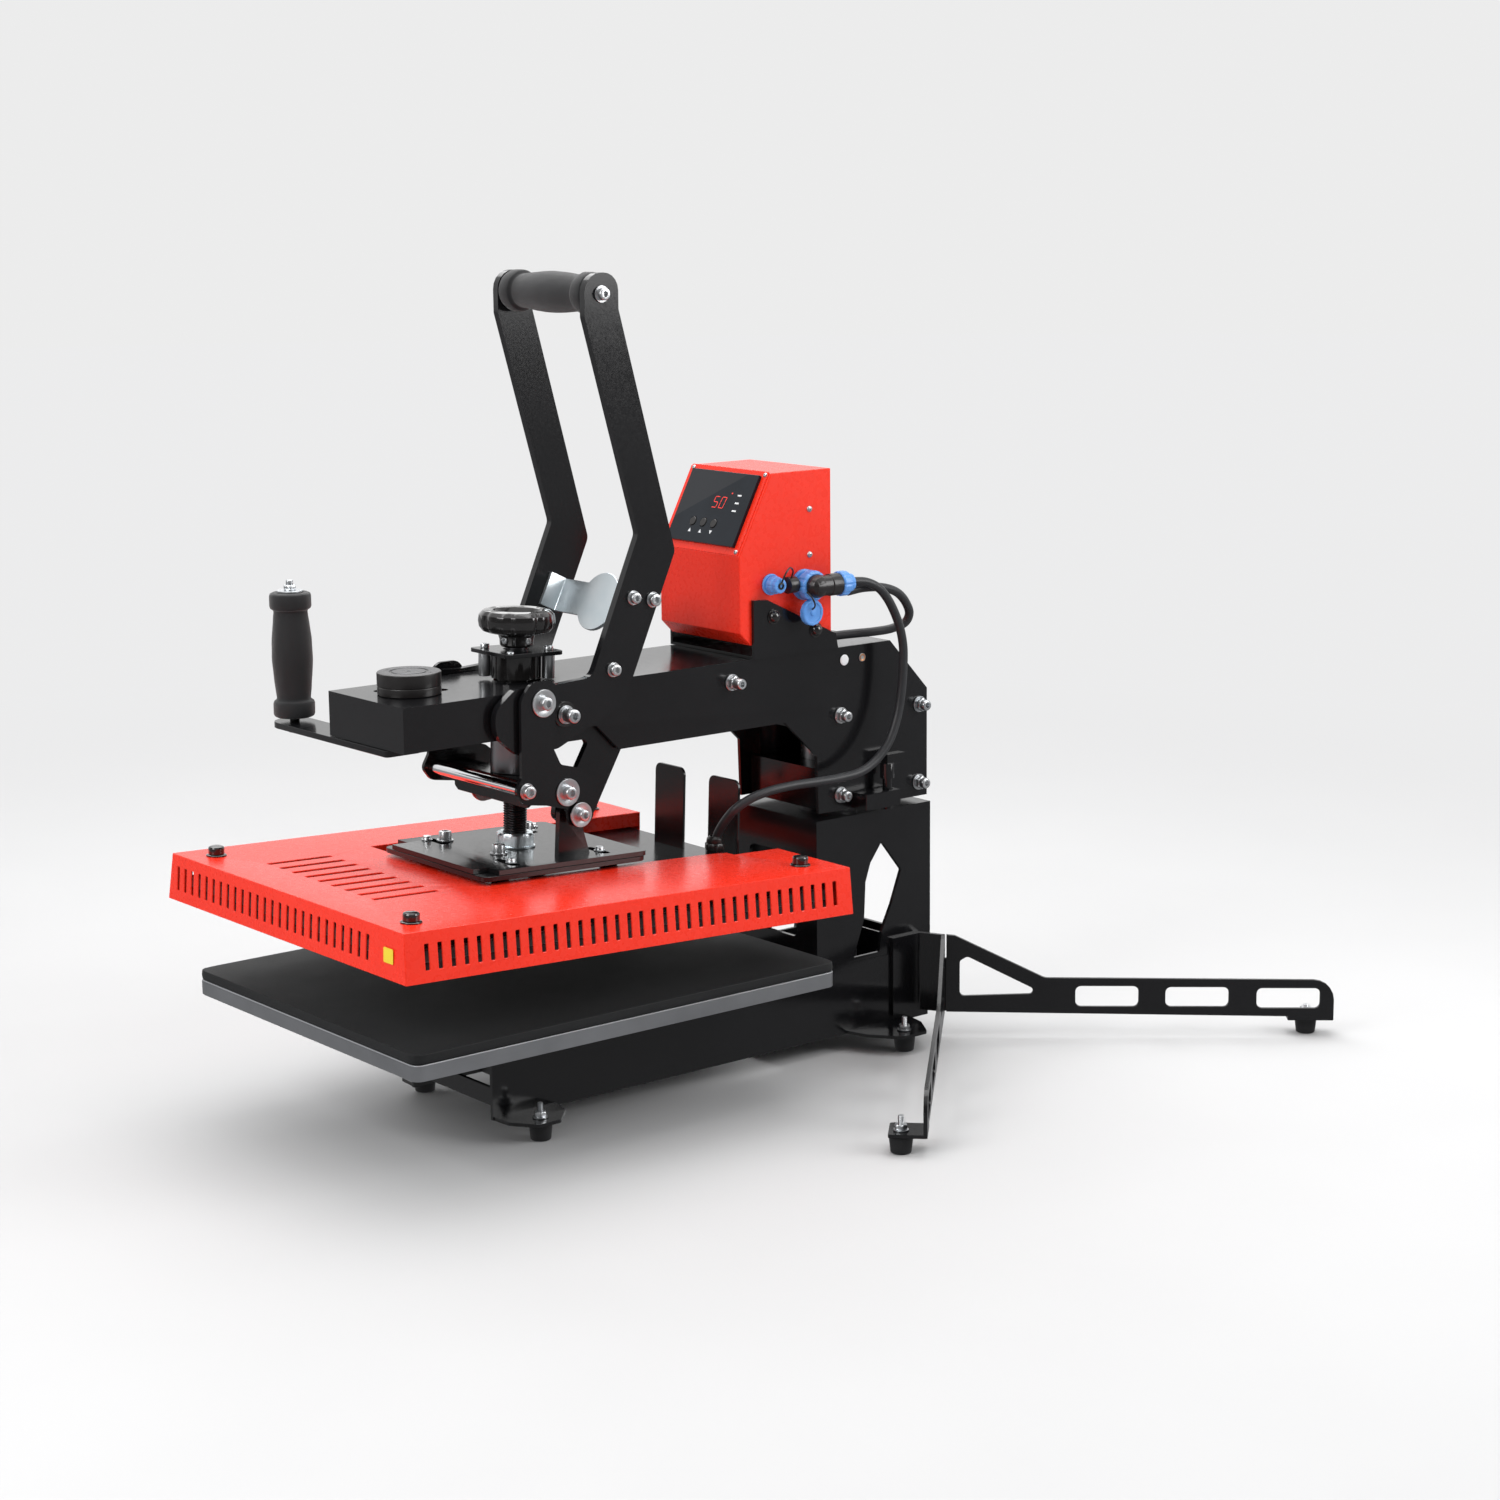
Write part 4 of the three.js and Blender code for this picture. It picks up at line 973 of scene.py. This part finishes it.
def build_arm_fasteners():
    mesh = bmesh.new()
    for side in SIDES:
        for y, z in ((371.6, 363.7), (371.1, 278.5)):
            arm_bolt_end(mesh, side, y, z, 4.2, 5.0, 6.6)
    rivet = beside(1, 66.5, 401.3, STUD_Z)
    rod(mesh, rivet, 4.4, 0, 1.2, 24)
    # screws on the flange plate
    for x, y in STANDOFFS:
        socket_screw(mesh, on_press(x, y, 190.2), 4.6, 4.2)
    for x, y in ((23, -23), (-23, 23)):
        button_screw(mesh, on_press(x, y, 190.1), 3.6, 1.8)
    make("arm_screws", mesh, "zinc", "swing_arm", angle=40)

    mesh = bmesh.new()
    lathe(mesh, [(2.0, 0.3), (4.0, 0.3), (4.2, 1.0), (3.6, 1.5), (2.2, 1.2)], rivet,
          28, 0.2, 2, closed=True)
    make("earth_rivet", mesh, "copper", "swing_arm")

    mesh = bmesh.new()
    for side in SIDES:
        lathe(mesh, [(0, -1.0), (3.9, -1.0), (3.9, 0.4), (5.6, 0.4), (5.8, 0.9), (4.8, 1.6),
                     (0, 1.9)], beside(side, 66.5, 376.6, STUD_Z), 32, 0.2, 2)
    make("hole_plugs", mesh, "white", "swing_arm")

    # bolts through the arm: node, y, z, head height
    for node, y, z, head in (("arm_bolt_middle", 226, 415.6, 10.6),
                             ("head_bolt_upper_rear", 482.5, 362.5, 6.6),
                             ("head_bolt_lower_rear", 481.5, 277.5, 6.6)):
        mesh = bmesh.new()
        rod(mesh, beside(1, 0, y, z), 4.6, -68, 68, 28)
        for side in SIDES:
            arm_bolt_end(mesh, side, y, z, 4.8, 5.4, head)
        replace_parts(make(node + "_set", mesh, "zinc", "swing_arm", angle=40), node)

    mesh = bmesh.new()
    for x, y in STANDOFFS:
        lathe(mesh, [(5.6, 162.2), (6.2, 162.6), (6.2, 185.2), (5.6, 185.8)],
              PRESS @ shift(x, y, 0), 32, 0.2, 2, closed=True)
    make("standoff_sleeves", mesh, "zinc", "swing_arm", angle=40)


def build_link_washers():
    mesh = bmesh.new()
    # y, z, washer radius, washer thickness, screw radius, screw height, screw seat, stand-off
    pins = ((-19, 425.7, 13.6, 2.0, 6.4, 6.6, 1.8, 0), (6.8, 334.8, 13.6, 2.0, 6.4, 6.6, 1.8, 0),
            (20.5, 311, 12.4, 2.0, 5.6, 6.6, 1.8, 2.2), (-41, 342, 8.2, 1.6, 6.4, 6.2, 1.4, 0))
    for side in SIDES:
        for y, z, outer, thickness, head, height, seat, off in pins:
            x = LINK_SIDE_X + off
            disc_washer(mesh, beside(side, x, y, z), outer, thickness)
            socket_screw(mesh, beside(side, x + seat, y, z), head, height)
    make("link_washers", mesh, "zinc", "link", angle=38)


def build_handle_pivots():
    for name, side in (("right", 1), ("left", -1)):
        def pivot(x):
            return beside(side, x, PIVOT_Y, PIVOT_Z)

        mesh = bmesh.new()
        lathe(mesh, [(0, 0), (10.8, 0), (10.8, 1.8), (7.9, 1.8), (7.9, 10.8), (0, 10.8)],
              pivot(66.8), 48, 0.2, 2)
        washer(mesh, pivot(79.6), 4.0, 9.2, 1.6)
        washer(mesh, pivot(81.2), 4.0, 8.0, 1.6)
        rod(mesh, pivot(79.8), 5.0, 0, 3.4, 32)
        lathe(mesh, [(5.0, 0), (7.0, 0), (7.0, 4.6), (0, 4.6)], pivot(82.8), 32, 0.3, 2)
        socket_screw(mesh, pivot(87.4), 6.9, 8.4)
        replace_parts(make("pivot_set_" + name, mesh, "zinc", "swing_arm", angle=38),
                    "handle_pivot_" + name)
    mesh = bmesh.new()
    for side in SIDES:
        washer(mesh, beside(side, 77.4, PIVOT_Y, PIVOT_Z), 4.4, 12.6, 1.6)
    make("pivot_black_washers", mesh, "gloss", "swing_arm", angle=38)


def build_platen_fasteners():
    mesh = bmesh.new()
    for x, y in ((178, -236), (-178, -236), (178, 222), (-178, 222)):
        lathe(mesh, [(0, -22.0), (10.2, -22.0), (10.2, -20.8), (9.0, -20.2), (0, -20.2)],
              PRESS @ shift(x, y, 0), 40, 0.3, 2)
        lathe(mesh, [(0, 0), (7.6, 0), (8.0, 0.6), (8.0, 6.2), (7.2, 7.6), (5.2, 8.3), (0, 8.5)],
              PRESS @ shift(x, y, -20.3), 44, 0.6, 3)
    make("cover_nuts", mesh, "gloss", "platen", angle=40)

    mesh = bmesh.new()
    plate = -7.9
    for x, y in ((-59, -44), (24, -36), (41, 45), (-55, 52)):
        washer(mesh, on_press(x, y, plate), 3.4, 8.6, 1.6)
        socket_screw(mesh, on_press(x, y, plate + 1.6), 6.6, 8.6)
    for x, y in ((-72, -57), (66, -50), (66, 56), (-70, 70)):
        washer(mesh, on_press(x, y, plate), 2.6, 5.6, 1.2)
        button_screw(mesh, on_press(x, y, plate + 1.1), 4.4, 3.6)
        hex_nut(mesh, on_press(x, y, plate + 1.2), 3.9, 3.4)
    make("pressure_plate_bolts", mesh, "zinc", "platen", angle=38)


build_arm_fasteners()
build_link_washers()
build_handle_pivots()
build_platen_fasteners()


def build_apron():
    """Upright plate across the cross beam, its lower corners cut back."""
    outline = rounded([(-66, 55.4, 0.6), (-66, 47, 2), (-60, 42.5, 3), (60, 42.5, 3),
                       (66, 47, 2), (66, 55.4, 0.6)], 4)
    # local y is the press z, local z the press y
    upright = Matrix(((1, 0, 0, 0), (0, 0, 1, -0.0285), (0, 1, 0, 0), (0, 0, 0, 1)))
    mesh = bmesh.new()
    prism(mesh, outline, 0.0, 3.0, PRESS @ upright)
    make("cross_beam_apron", mesh, "black", "ram", 0.5)


build_apron()


# ---------------------------------------------------------------- control box
FACE_RUN, FACE_RISE = 43, 82      # the display face leans back by run over rise
FACE_MIDDLE = 0.521               # share of the slope at the face's origin
FACE_UP = Vector((0, FACE_RUN, FACE_RISE)).normalized()
FACE_OUT = RIGHT.cross(FACE_UP)
FACE_ORIGIN = Vector((-0.5, 238 + FACE_RUN * FACE_MIDDLE, 542 + FACE_RISE * FACE_MIDDLE))
SHEET = 4.42                      # print height over the face


def on_face(x, y, out):
    """Frame on the display face: local y up the slope, local z out of it."""
    point = FACE_ORIGIN + Vector((x, 0, 0)) + FACE_UP * y + FACE_OUT * out
    return axes_frame(RIGHT, FACE_UP, FACE_OUT, bench_point(*point))


def add_digit(mesh, place, lit):
    """Seven-segment figure; lit names its bars, a to g."""
    x, y = 3.4, 6.0               # half sizes
    thickness, slant = 0.8, 0.14
    bars = {"a": ((-x, y), (x, y)), "b": ((x, y), (x, 0)), "c": ((x, 0), (x, -y)),
            "d": ((-x, -y), (x, -y)), "e": ((-x, 0), (-x, -y)), "f": ((-x, y), (-x, 0)),
            "g": ((-x, 0), (x, 0))}
    for bar in lit:
        start, end = (Vector(point) for point in bars[bar])
        along = (end - start).normalized()
        across = Vector((-along.y, along.x)) * thickness / 2
        start, end = start + along * thickness * 0.65, end - along * thickness * 0.65
        tip = along * thickness * 0.5
        outline = [start - tip, start + across, end + across, end + tip, end - across,
                   start - across]
        prism(mesh, [(p.x + p.y * slant, p.y) for p in outline], 0, 0.12, place)


def build_display_print():
    mesh = bmesh.new()
    add_digit(mesh, on_face(3.0, 5.8, SHEET), "acdfg")
    add_digit(mesh, on_face(14.0, 5.8, SHEET), "abcdef")
    rod(mesh, on_face(24.0, 16.8, 4.4), 0.9, 0, 0.15, 16, fillet=0)
    make("display_figures", mesh, "led", "swing_arm")

    mesh = bmesh.new()
    for y in (15.3, 6.8, -1.7):
        prism(mesh, rounded_box(-3.2, -0.9, 3.2, 0.9, 0.4, 3), 0, 0.1, on_face(36.5, y, SHEET))
    for x, up in ((-21.9, 1), (-4.9, 1), (12.1, -1)):
        arrow = [(-2.2, -2.0 * up), (2.2, -2.0 * up), (0, 2.2 * up)][::up]
        prism(mesh, arrow, 0, 0.1, on_face(x, -27.4, SHEET))
    make("display_marks", mesh, "white", "swing_arm")


def build_control_hardware():
    mesh = bmesh.new()
    for x, y in ((-58.2, 41.6), (59.2, 41.6), (59.2, -43.4), (-58.2, -43.4)):
        button_screw(mesh, on_face(x, y, 0.6), 2.6, 1.8)
    for side in SIDES:
        for z in (584, 537):
            button_screw(mesh, beside(side, 66.0, 331, z), 3.4, 2.0)
    make("control_screws", mesh, "zinc", "swing_arm", angle=40)

    mesh = bmesh.new()
    for side in SIDES:
        for y, z in ((279.3, 478), (335.4, 458.6)):
            washer(mesh, beside(side, 69.9, y, z), 3, 8.0, 1.2)
            dome(mesh, beside(side, 71.0, y, z), 6.4, 5.6)
    make("cradle_domes", mesh, "gloss", "swing_arm", angle=40)

    # thin plate behind the display sheet, moved left and down on the face
    mesh = bmesh.new()
    outline = rounded_box(-59.5, -46.5, 65.5, 46.5, 1.5, 4)
    prism(mesh, [(p.x - 2.5, p.y - 0.9) for p in outline], -1.0, 0.9, on_face(0, 0, 0))
    make("display_frame", mesh, "red", "swing_arm", 0.5)


build_display_print()
build_control_hardware()


# ---------------------------------------------------------------- connectors
def build_connectors():
    """Small capped connector, and behind it a large one that elbows to the back."""
    small = beside(1, 66.2, 278, 511)
    large = beside(1, 66.2, 322, 507)

    mesh = bmesh.new()
    lathe(mesh, [(0, 2.8), (8.6, 2.8), (9.2, 3.6), (9.2, 9.5), (8.4, 11.4), (7.8, 11.8),
                 (7.8, 16.6), (6.8, 17.4), (0, 17.4)], small, 96, 0.4, 2, warp=lobed(10, 0.05))
    lathe(mesh, [(0, 0), (10.8, 0), (11.0, 0.5), (11.0, 2.2), (10.4, 2.8), (0, 2.8)],
          small, 48, 0.3, 2)
    cap = make("connector_small_cap", mesh, "blue", "swing_arm", angle=40)
    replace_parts(cap, "connector_small")

    # flange, coupling ring, clamp nut and hanging cap
    mesh = bmesh.new()
    lathe(mesh, [(0, 0), (15.6, 0), (16.0, 0.6), (16.0, 3.2), (15.2, 4.0), (12.6, 4.2),
                 (12.6, 8.0), (0, 8.0)], large, 64, 0.4, 2)
    lathe(mesh, [(13.2, 8.2), (15.2, 8.6), (15.8, 9.8), (15.8, 18.0), (15.0, 19.6), (12.8, 20.0),
                 (11.5, 19.5), (11.5, 8.8)], large, 96, 0.4, 2, closed=True,
          warp=lobed(12, 0.06))
    lathe(mesh, [(0, 12.0), (12.2, 12.0), (13.0, 13.2), (13.0, 21.0), (12.0, 22.8), (9.8, 23.6),
                 (9.4, 29.0), (8.0, 30.2), (5.0, 30.4), (5.0, 28.0), (0, 28.0)],
          at(88.2, 338, 507, BACK), 96, 0.5, 2, warp=lobed(8, 0.07))
    lathe(mesh, [(0, -3.0), (12.6, -3.0), (13.4, -2.4), (13.4, 2.6), (12.4, 3.4), (10.6, 3.4),
                 (10.2, 2.4), (3.6, 2.4), (3.2, 3.6), (0, 3.6)],
          beside(1, 84, 318, 480), 96, 0.4, 2, warp=lobed(14, 0.03))
    coupling = make("connector_large_rings", mesh, "blue", "swing_arm", angle=40)
    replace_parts(coupling, "connector_large")

    # black bodies, tethers and a short collar
    mesh = bmesh.new()
    lathe(mesh, [(0, 7.9), (12.0, 7.9), (12.0, 24.0), (10.0, 29.0), (6.0, 32.0), (0, 33.0)],
          large, 64, 1.0, 3)
    lathe(mesh, [(0, -11.0), (7.0, -9.6), (10.4, -6.0), (11.0, 0), (10.6, 14), (11.4, 15),
                 (11.4, 27.6), (10.0, 28.4), (0, 28.4)], at(88.2, 322, 507, BACK), 64, 0.8, 3)
    lathe(mesh, [(2.0, 17.0), (3.6, 17.2), (3.8, 18.4), (2.2, 19.0)], small,
          24, 0.2, 2, closed=True)
    for tether in (
            [(84, 278, 513), (88, 280, 523), (86, 288, 529), (80, 297, 524), (72, 300, 513)],
            [(82, 318, 481), (92, 316, 488), (92, 312, 497), (84, 310, 503)]):
        sweep(mesh, catmull(tether, 8), 0.9, 10)
    lathe(mesh, [(0, -2.0), (8.6, -2.0), (8.6, 9.0), (7.6, 10.0), (0, 10.0)],
          at(72.5, 296.5, 509, BACK), 40, 0.4, 2)
    make("connector_bodies", mesh, "blackplastic", "swing_arm", angle=40)


build_connectors()


# ---------------------------------------------------------------- cables
CABLE_RADIUS = 4.7
# bench x, y, z
SENSOR_PATH = [
    (83, 368, 497), (82, 392, 498.5), (81, 420, 495.5), (80, 440, 488), (79, 452, 477),
    (77, 459, 464), (73, 457, 454.5), (67, 443, 448.5), (61, 424, 446.5), (55, 402, 446),
    (50, 382, 445.5), (44, 360, 444),
]
PLATEN_PATH = [
    (90, 366, 508), (92, 385, 506), (94, 400, 499), (94, 412, 487.5), (94, 422.2, 472),
    (94, 430.7, 453), (94, 435.1, 433), (94, 435.1, 411.3), (94, 433.5, 391.7),
    (94, 429.3, 368.1), (94.5, 422.5, 349), (95, 412.8, 332.5), (95, 397, 317.5),
    (95, 376.4, 307.5), (94, 346.7, 304.1), (92, 318.1, 303.7), (90, 289.8, 303.9),
    (88, 256.9, 301.9), (85, 234.9, 296.7), (80, 219.4, 287.8), (72, 214, 277.3),
    (62, 210.6, 261.8), (58.4, 209.2, 251), (58, 208.6, 241),
]


def build_cable(name, path, body):
    mesh = bmesh.new()
    sweep(mesh, path, CABLE_RADIUS, 20)
    return make(name, mesh, "cable", body, angle=60)


def build_platen_cable():
    """Three spans of one cable, split at two points along its path; each is baked in place and
    not attached to a body.
    """
    path = catmull(PLATEN_PATH, 14)

    def nearest(point):
        return min(range(len(path)), key=lambda i: (path[i] - Vector(point)).length)

    first = nearest((92, 320, 303.7))
    second = nearest((90, 284, 303.9))
    # points, from body, to body, start and end of the bend
    spans = [(path[:first + 1], "swing_arm", "ram", (94, 435, 420), (94, 352, 304.1)),
             (path[first:second + 1], "ram", "carrier", path[first + 2], path[second - 2]),
             (path[second:], "carrier", "platen", path[second + 3], (64, 211, 264))]
    pieces = []
    for i, (points, body, next_body, start, end) in enumerate(spans):
        piece = build_cable("platen_cable_%d" % (i + 1), points, None)
        bench_point(*start)
        bench_point(*end)
        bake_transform(piece)
        pieces.append(piece)
    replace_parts(pieces[0], "cable_platen")


def build_gland():
    """Nut and sleeve where the cable meets the tray."""
    x, y = 58, 208
    mesh = bmesh.new()
    hex_nut(mesh, on_press(x, y, -24.8), 9.4, 7.0, 5.0)
    lathe(mesh, [(5.0, -18), (8.6, -18), (8.2, -13), (6.0, -10.5), (5.0, -10.5)],
          PRESS @ shift(x, y, 0), 40, 0.4, 2, closed=True)
    make("cable_gland", mesh, "blackplastic", "platen", angle=40)


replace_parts(build_cable("sensor_lead", catmull(SENSOR_PATH, 12), "swing_arm"), "cable_sensor")
build_platen_cable()
build_gland()


def build_label():
    """Plain yellow label on the front of the platen cover."""
    place = axes_frame(RIGHT, PRESS_UP, Vector((0, -COS_TILT, SIN_TILT)),
                       press_point(190, -267.6, -46))
    mesh = bmesh.new()
    prism(mesh, rounded_box(-8, -7, 8, 7, 1.5, 5), 0.0, 0.25, place)
    make("plain_label", mesh, "yellow", "platen")


build_label()


# ---------------------------------------------------------------- floor, world, lights, camera
PALE = 0.84                       # background brightness
VIEW_AZIMUTH = math.radians(51.0)
VIEW_AHEAD = Vector((-math.sin(VIEW_AZIMUTH), math.cos(VIEW_AZIMUTH), 0))
VIEW_RIGHT = Vector((math.cos(VIEW_AZIMUTH), math.sin(VIEW_AZIMUTH), 0))
FLOOR_RADII = (0.5, 1.0, 1.6, 2.4, 3.4, 5.0, 8.0, 14.0)   # metres


def floor_material():
    material, tree, bsdf = new_material("studio floor")
    vector = coords(tree)
    drift = noise_tex(tree, vector, scale=3.0, detail=2.0)
    tree.links.new(ramp(tree, drift, (0.55, 0.55, 0.553), (0.565, 0.565, 0.568)),
                   bsdf.inputs["Base Color"])
    bsdf.inputs["Roughness"].default_value = 0.75
    bsdf.inputs["Specular IOR Level"].default_value = 0.1

    def mix_in(factor, shader, colour):
        emission = add_node(tree, "Emission")
        emission.inputs[0].default_value = colour
        blend = add_node(tree, "MixShader")
        for i, socket in enumerate((factor, shader, emission.outputs[0])):
            tree.links.new(socket, blend.inputs[i])
        return blend.outputs[0]

    # away from the machine the floor runs into the pale background without a horizon
    length = add_node(tree, "VectorMath", operation="LENGTH")
    tree.links.new(vector, length.inputs[0])
    fade = remap(tree, length.outputs["Value"], source=(0.75, 2.6), curve="SMOOTHSTEP")
    shader = mix_in(fade, bsdf.outputs[0], (PALE, PALE, PALE * 1.005, 1))
    # reflections see a darker floor
    rays = add_node(tree, "LightPath")
    shader = mix_in(rays.outputs["Is Glossy Ray"], shader, (0.30, 0.30, 0.305, 1))
    tree.links.new(shader, tree.nodes["Material Output"].inputs[0])
    return material


def build_floor():
    z, count = -PAD_TOP * MM - 0.0004, 72
    mesh = bmesh.new()
    centre = mesh.verts.new((0, 0, z))
    rows = [[mesh.verts.new(point) for point in circle(radius, z, count)]
            for radius in FLOOR_RADII]
    for k in range(count):
        mesh.faces.new((centre, rows[0][k], rows[0][(k + 1) % count]))
    for inner, outer in zip(rows, rows[1:]):
        for k in range(count):
            j = (k + 1) % count
            mesh.faces.new((inner[k], outer[k], outer[j], inner[j]))
    data = bpy.data.meshes.new("floor")
    mesh.to_mesh(data)
    mesh.free()
    floor = add_object("floor", data)
    data.materials.append(floor_material())


def build_world():
    """Pale to the camera; other rays see it bright ahead of the view and overhead."""
    world = bpy.data.worlds.new("studio")
    world.use_nodes = True
    bpy.context.scene.world = world
    tree = world.node_tree
    background = tree.nodes["Background"]
    source = add_node(tree, "TexCoord")

    def along(direction, span, strength):
        dot = add_node(tree, "VectorMath", operation="DOT_PRODUCT")
        tree.links.new(source.outputs["Generated"], dot.inputs[0])
        dot.inputs[1].default_value = tuple(direction)
        return remap(tree, dot.outputs["Value"], span, strength, "SMOOTHSTEP")

    ahead = along(VIEW_AHEAD, span=(-0.35, 0.55), strength=(0.10, 0.95))
    overhead = along(UP, span=(0.35, 0.95), strength=(0.0, 1.15))
    brighter = add_node(tree, "Math", operation="MAXIMUM")
    tree.links.new(ahead, brighter.inputs[0])
    tree.links.new(overhead, brighter.inputs[1])
    rays = add_node(tree, "LightPath")
    choice = add_node(tree, "Mix", data_type="FLOAT")
    tree.links.new(rays.outputs["Is Camera Ray"], choice.inputs[0])
    tree.links.new(brighter.outputs[0], choice.inputs[2])
    choice.inputs[3].default_value = PALE
    background.inputs[0].default_value = (1, 1, 1, 1)
    tree.links.new(choice.outputs[0], background.inputs[1])


def add_area_light(name, ahead, right, up, size, power):
    """Area light aimed at the machine; offsets are from the target, in metres."""
    target = Vector((0.0, 0.15, 0.2))
    light = bpy.data.lights.new(name, "AREA")
    light.shape = "RECTANGLE"
    light.size, light.size_y = size
    light.energy = power
    lamp = add_object(name, light)
    lamp.location = target + VIEW_AHEAD * ahead + VIEW_RIGHT * right + Vector((0, 0, up))
    aim = target - lamp.location
    lamp.rotation_euler = aim.to_track_quat("-Z", "Y").to_euler()


def build_camera():
    data = bpy.data.cameras.new("camera")
    data.sensor_width = 36.0
    data.lens = 71.76624
    data.clip_start, data.clip_end = 0.05, 30
    camera = add_object("camera", data)
    yaw, pitch, roll = math.radians(51.091), math.radians(-11.043), math.radians(-0.58)
    ahead = Vector((-math.sin(yaw) * math.cos(pitch), math.cos(yaw) * math.cos(pitch),
                    math.sin(pitch)))
    level = Vector((math.cos(yaw), math.sin(yaw), 0))
    upright = level.cross(ahead)
    camera.matrix_world = axes_frame(math.cos(roll) * level + math.sin(roll) * upright,
                                     -math.sin(roll) * level + math.cos(roll) * upright,
                                     -ahead, bench_point(2408.18, -1641.0, 929.86))
    scene = bpy.context.scene
    scene.camera = camera
    scene.view_settings.view_transform = "Standard"
    scene.view_settings.look = "None"


build_floor()
build_world()
add_area_light("top", ahead=0.6, right=0, up=2.6, size=(2.6, 2.2), power=46)
add_area_light("front_left", ahead=-2.0, right=-2.0, up=1.6, size=(1.6, 1.6), power=52)
add_area_light("right", ahead=-0.6, right=2.8, up=1.2, size=(1.4, 1.8), power=50)
add_area_light("back", ahead=2.2, right=-0.8, up=2.0, size=(2.4, 1.0), power=20)
build_camera()
